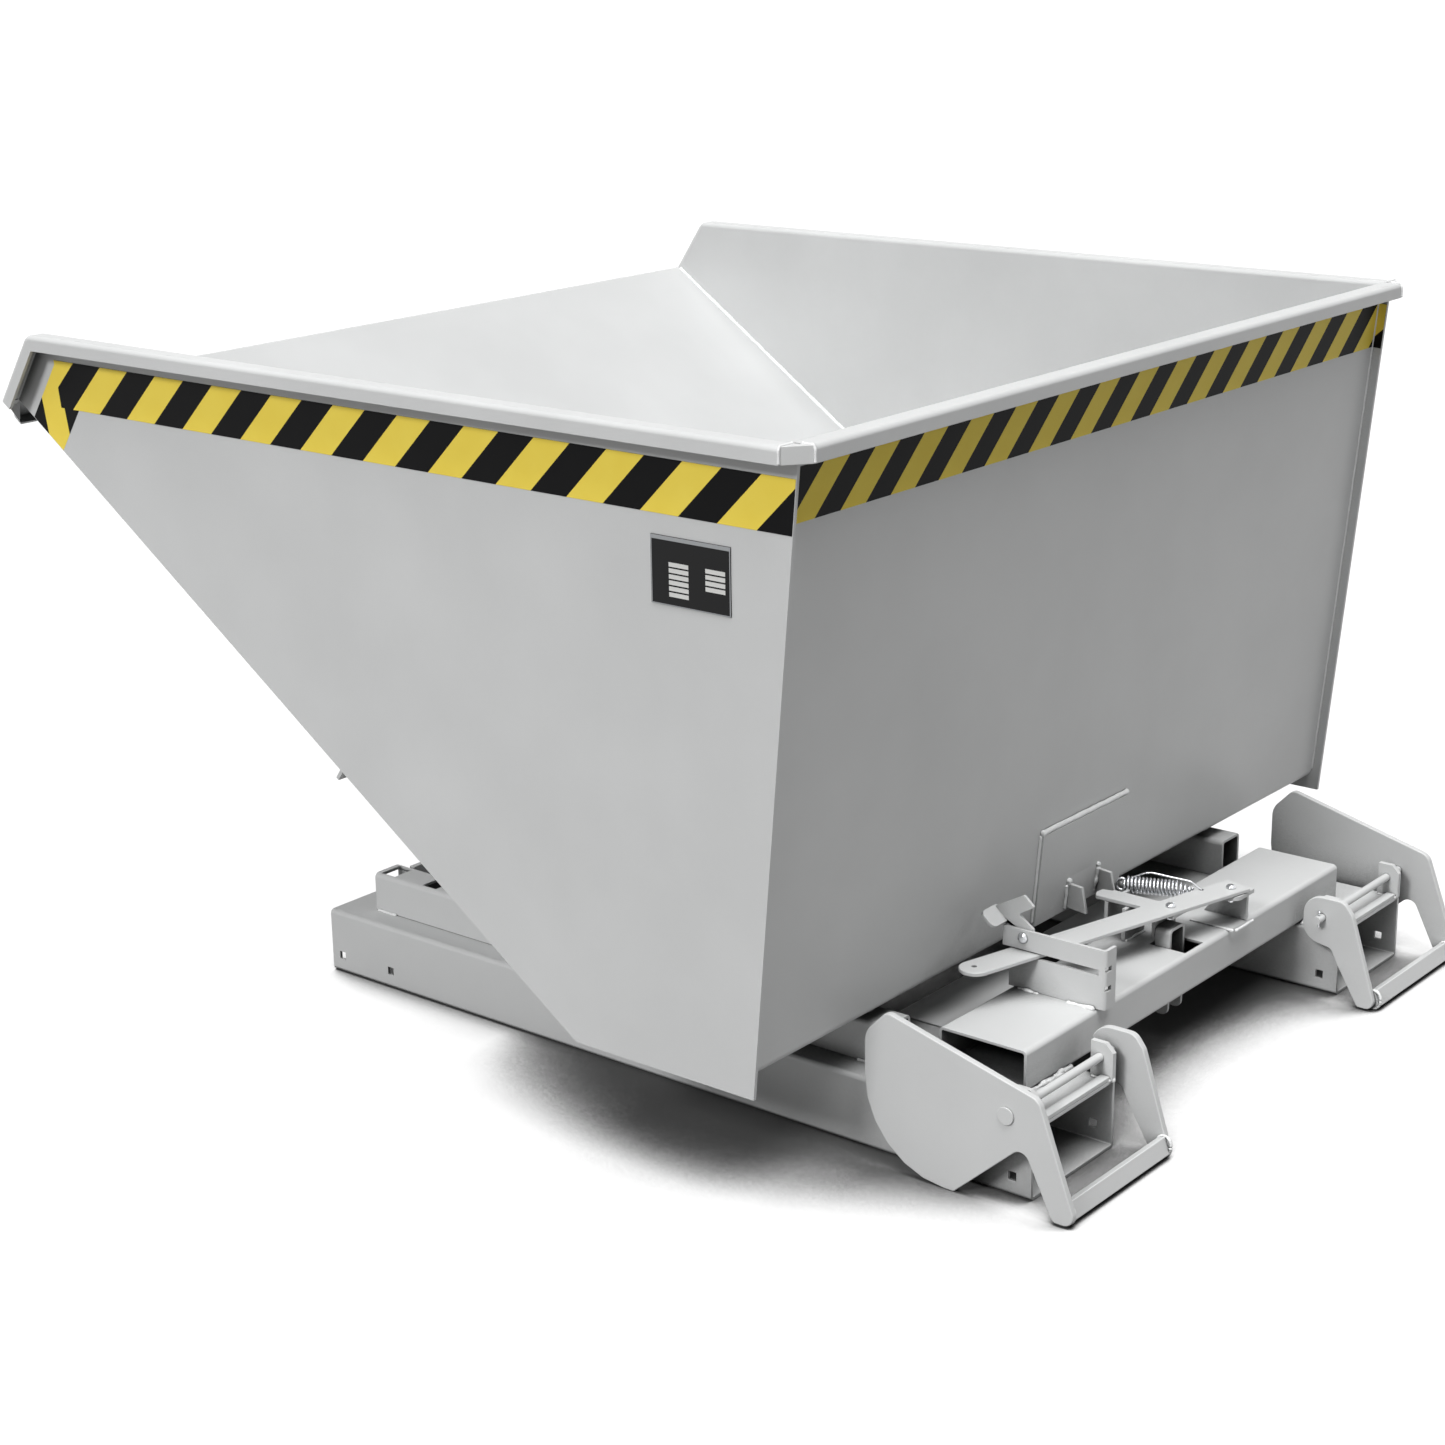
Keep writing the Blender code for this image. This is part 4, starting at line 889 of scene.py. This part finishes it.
def catch_wedge():
    """The shallow wedge against the doubler, between the catch's cheeks."""
    # Height on the wall and how far proud of it, round the wedge's section
    section = ((184, 5.9), (232, 5.9), (231, 6.3), (187, 10.4), (184, 10.4))
    feet = [on_wall(0, height, proud) for height, proud in section]
    mesh = bmesh.new()
    prism(mesh, [(foot.y, foot.z) for foot in feet], "X", -57.5, 14.5)
    made = piece("catch_wedge", mesh, [grey_enamel], "hopper")
    soften(made, 0.8)
    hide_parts("catch_ramp")


def button_bolt(name, body, seat, way, radius):
    """The zinc-plated head of a button-head bolt, where the CAD's head is: a rim, a dome, and a
    six-sided socket."""
    tall, sides, sixth = 4.8, 24, math.pi / 3
    socket, shoulder, rim = 0.36 * radius, 0.97 * radius, 0.3
    # Size and share of the height of each ring: rim, dome, socket
    rows = [(shoulder, 0.0), (radius, 0.12), (shoulder, rim)]
    for degrees in (20, 38, 54):
        t = math.radians(degrees)
        rows.append((shoulder * math.cos(t), rim + (1 - rim) * math.sin(t)))
    rows += [(socket * 1.18, 0.985), (socket, 0.9), (socket, 0.25)]
    way = Vector(way)
    aside = way.orthogonal().normalized()
    over = way.cross(aside)
    rings = []
    for size, share in rows:
        ring = []
        for k in range(sides):
            turn = math.tau * k / sides
            reach = size
            if size <= socket * 1.01:
                reach *= math.cos(sixth / 2) / math.cos(turn % sixth - sixth / 2)
            round_way = aside * math.cos(turn) + over * math.sin(turn)
            ring.append(Vector(seat) + way * tall * share + round_way * reach)
        rings.append(ring)
    mesh = bmesh.new()
    solid(mesh, rings)
    made = piece(name, mesh, [bright_zinc], body)
    made.modifiers.new("even_shading", "WEIGHTED_NORMAL").keep_sharp = True


latch_rest()
catch_wedge()
thumb_tab()
for side, word in SIDES:
    gusset_plate(f"gusset_plate_{word}", side)
    rim_gusset(f"rim_gusset_{word}", side)
button_bolt("pivot_bolt_head", "frame", (-119.5, 708, 216.6), (0, 0, 1), 7.4)
button_bolt("tab_bolt_head", "lever", (-3.5, 676, 216.6), (0, 0, 1), 7.4)
button_bolt("pawl_bolt_head", "frame", (261.6, 600, 235), (1, 0, 0), 7.6)
wound_spring()


# ---------------------------------------------------------------- floor, light and camera

WHITE = (1, 1, 1, 1)


def seen_by_eye(tree):
    """1 on rays that the eye sees, straight or by way of a glossy or clear surface, and else 0."""
    path = add(tree, "ShaderNodeLightPath")
    seen = path.outputs["Is Camera Ray"]
    for way in ("Is Glossy Ray", "Is Transmission Ray"):
        links = {0: seen, 1: path.outputs[way]}
        seen = add(tree, "ShaderNodeMath", links, operation="MAXIMUM").outputs[0]
    return seen


def ground():
    """A pale studio floor that glows white to the eye. Where ambient occlusion finds the object
    close above, the glow fades into a painted shadow, over the faint real shadow of its matt shade.
    """
    half_side, drop = 60, 0.4 * MM
    material, tree, place = fresh("pale_studio_floor")
    grain = add(tree, "ShaderNodeTexNoise", {"Vector": place, "Scale": per(400), "Detail": 2.0})
    colour = add(
        tree,
        "ShaderNodeMix",
        {"Factor": grain.outputs["Fac"], 6: linear("#8A8A8A"), 7: linear("#929292")},
        data_type="RGBA",
    )
    matt = add(tree, "ShaderNodeBsdfDiffuse", {"Color": colour.outputs[2]})
    # Painted shadow: the eye's white glow fades where ambient occlusion finds the object close
    # above.
    below = add(tree, "ShaderNodeAmbientOcclusion", {"Distance": 340 * MM}, samples=12)
    glow_past_painted_shadow = add(
        tree,
        "ShaderNodeMapRange",
        {"Value": below.outputs["AO"], "From Min": 0.45, "From Max": 0.71},
        interpolation_type="SMOOTHSTEP",
    )
    faint = add(tree, "ShaderNodeBsdfDiffuse", {"Color": linear("#585858")})
    glow = add(tree, "ShaderNodeEmission", {"Color": WHITE, "Strength": glow_past_painted_shadow.outputs[0]})
    shown = add(tree, "ShaderNodeAddShader", {0: faint.outputs[0], 1: glow.outputs[0]})
    links = {0: seen_by_eye(tree), 1: matt.outputs[0], 2: shown.outputs[0]}
    both = add(tree, "ShaderNodeMixShader", links)
    add(tree, "ShaderNodeOutputMaterial", {"Surface": both.outputs[0]})
    mesh = bmesh.new()
    bmesh.ops.create_grid(mesh, x_segments=2, y_segments=2, size=half_side)
    data = bpy.data.meshes.new("studio_floor")
    mesh.to_mesh(data)
    mesh.free()
    data.materials.append(material)
    made = bpy.data.objects.new("studio_floor", data)
    made.location.z = -drop
    scene.collection.objects.link(made)


def surroundings(strength):
    """An even studio: soft light from all round, and white where the eye looks past the object."""
    world = bpy.data.worlds.new("studio")
    scene.world = world
    world.use_nodes = True
    tree = world.node_tree
    tree.nodes.clear()
    soft = add(tree, "ShaderNodeBackground", {"Color": WHITE, "Strength": strength})
    white = add(tree, "ShaderNodeBackground", {"Color": WHITE, "Strength": 1.0})
    links = {0: seen_by_eye(tree), 1: soft.outputs[0], 2: white.outputs[0]}
    both = add(tree, "ShaderNodeMixShader", links)
    add(tree, "ShaderNodeOutputWorld", {"Surface": both.outputs[0]})


def softlight(name, towards, spread, power):
    """A broad soft lamp, so far away that its light is even. towards points to it from the
    object, and spread is its width in degrees."""
    lamp = bpy.data.lights.new(name, "SUN")
    lamp.angle = math.radians(spread)
    lamp.energy = power
    made = bpy.data.objects.new(name, lamp)
    made.location = Vector(towards) * 4
    made.rotation_euler = Vector(towards).to_track_quat("Z", "Y").to_euler()
    scene.collection.objects.link(made)


def stand_camera():
    """The photograph's camera: its place in metres, directions in degrees, and lens, solved from
    the straight edges."""
    place, lens_mm, sensor_mm = (3.2059, 2.4817, 1.6345), 68.39, 36
    azimuth, elevation, roll = (math.radians(angle) for angle in (129.22, 17.385, -0.839))
    flat = math.cos(elevation)
    back = Vector((math.sin(azimuth) * flat, -math.cos(azimuth) * flat, math.sin(elevation)))
    right = (-back).cross(Vector((0, 0, 1))).normalized()
    up = right.cross(-back).normalized()
    turned_right = right * math.cos(roll) + up * math.sin(roll)
    turned_up = up * math.cos(roll) - right * math.sin(roll)
    lens = bpy.data.cameras.new("photograph_camera")
    lens.lens = lens_mm
    lens.sensor_width = sensor_mm
    lens.sensor_fit = "HORIZONTAL"
    made = bpy.data.objects.new("photograph_camera", lens)
    turn = Matrix((turned_right, turned_up, back)).transposed().to_4x4()
    made.matrix_world = Matrix.Translation(place) @ turn
    scene.collection.objects.link(made)
    scene.camera = made


ground()
surroundings(0.16)
softlight("overhead", (0.1, 0.214, 0.972), 40, 2.74)
softlight("key", (0.82, -0.05, 0.57), 14, 1.8)
stand_camera()
scene.view_settings.view_transform = "Standard"
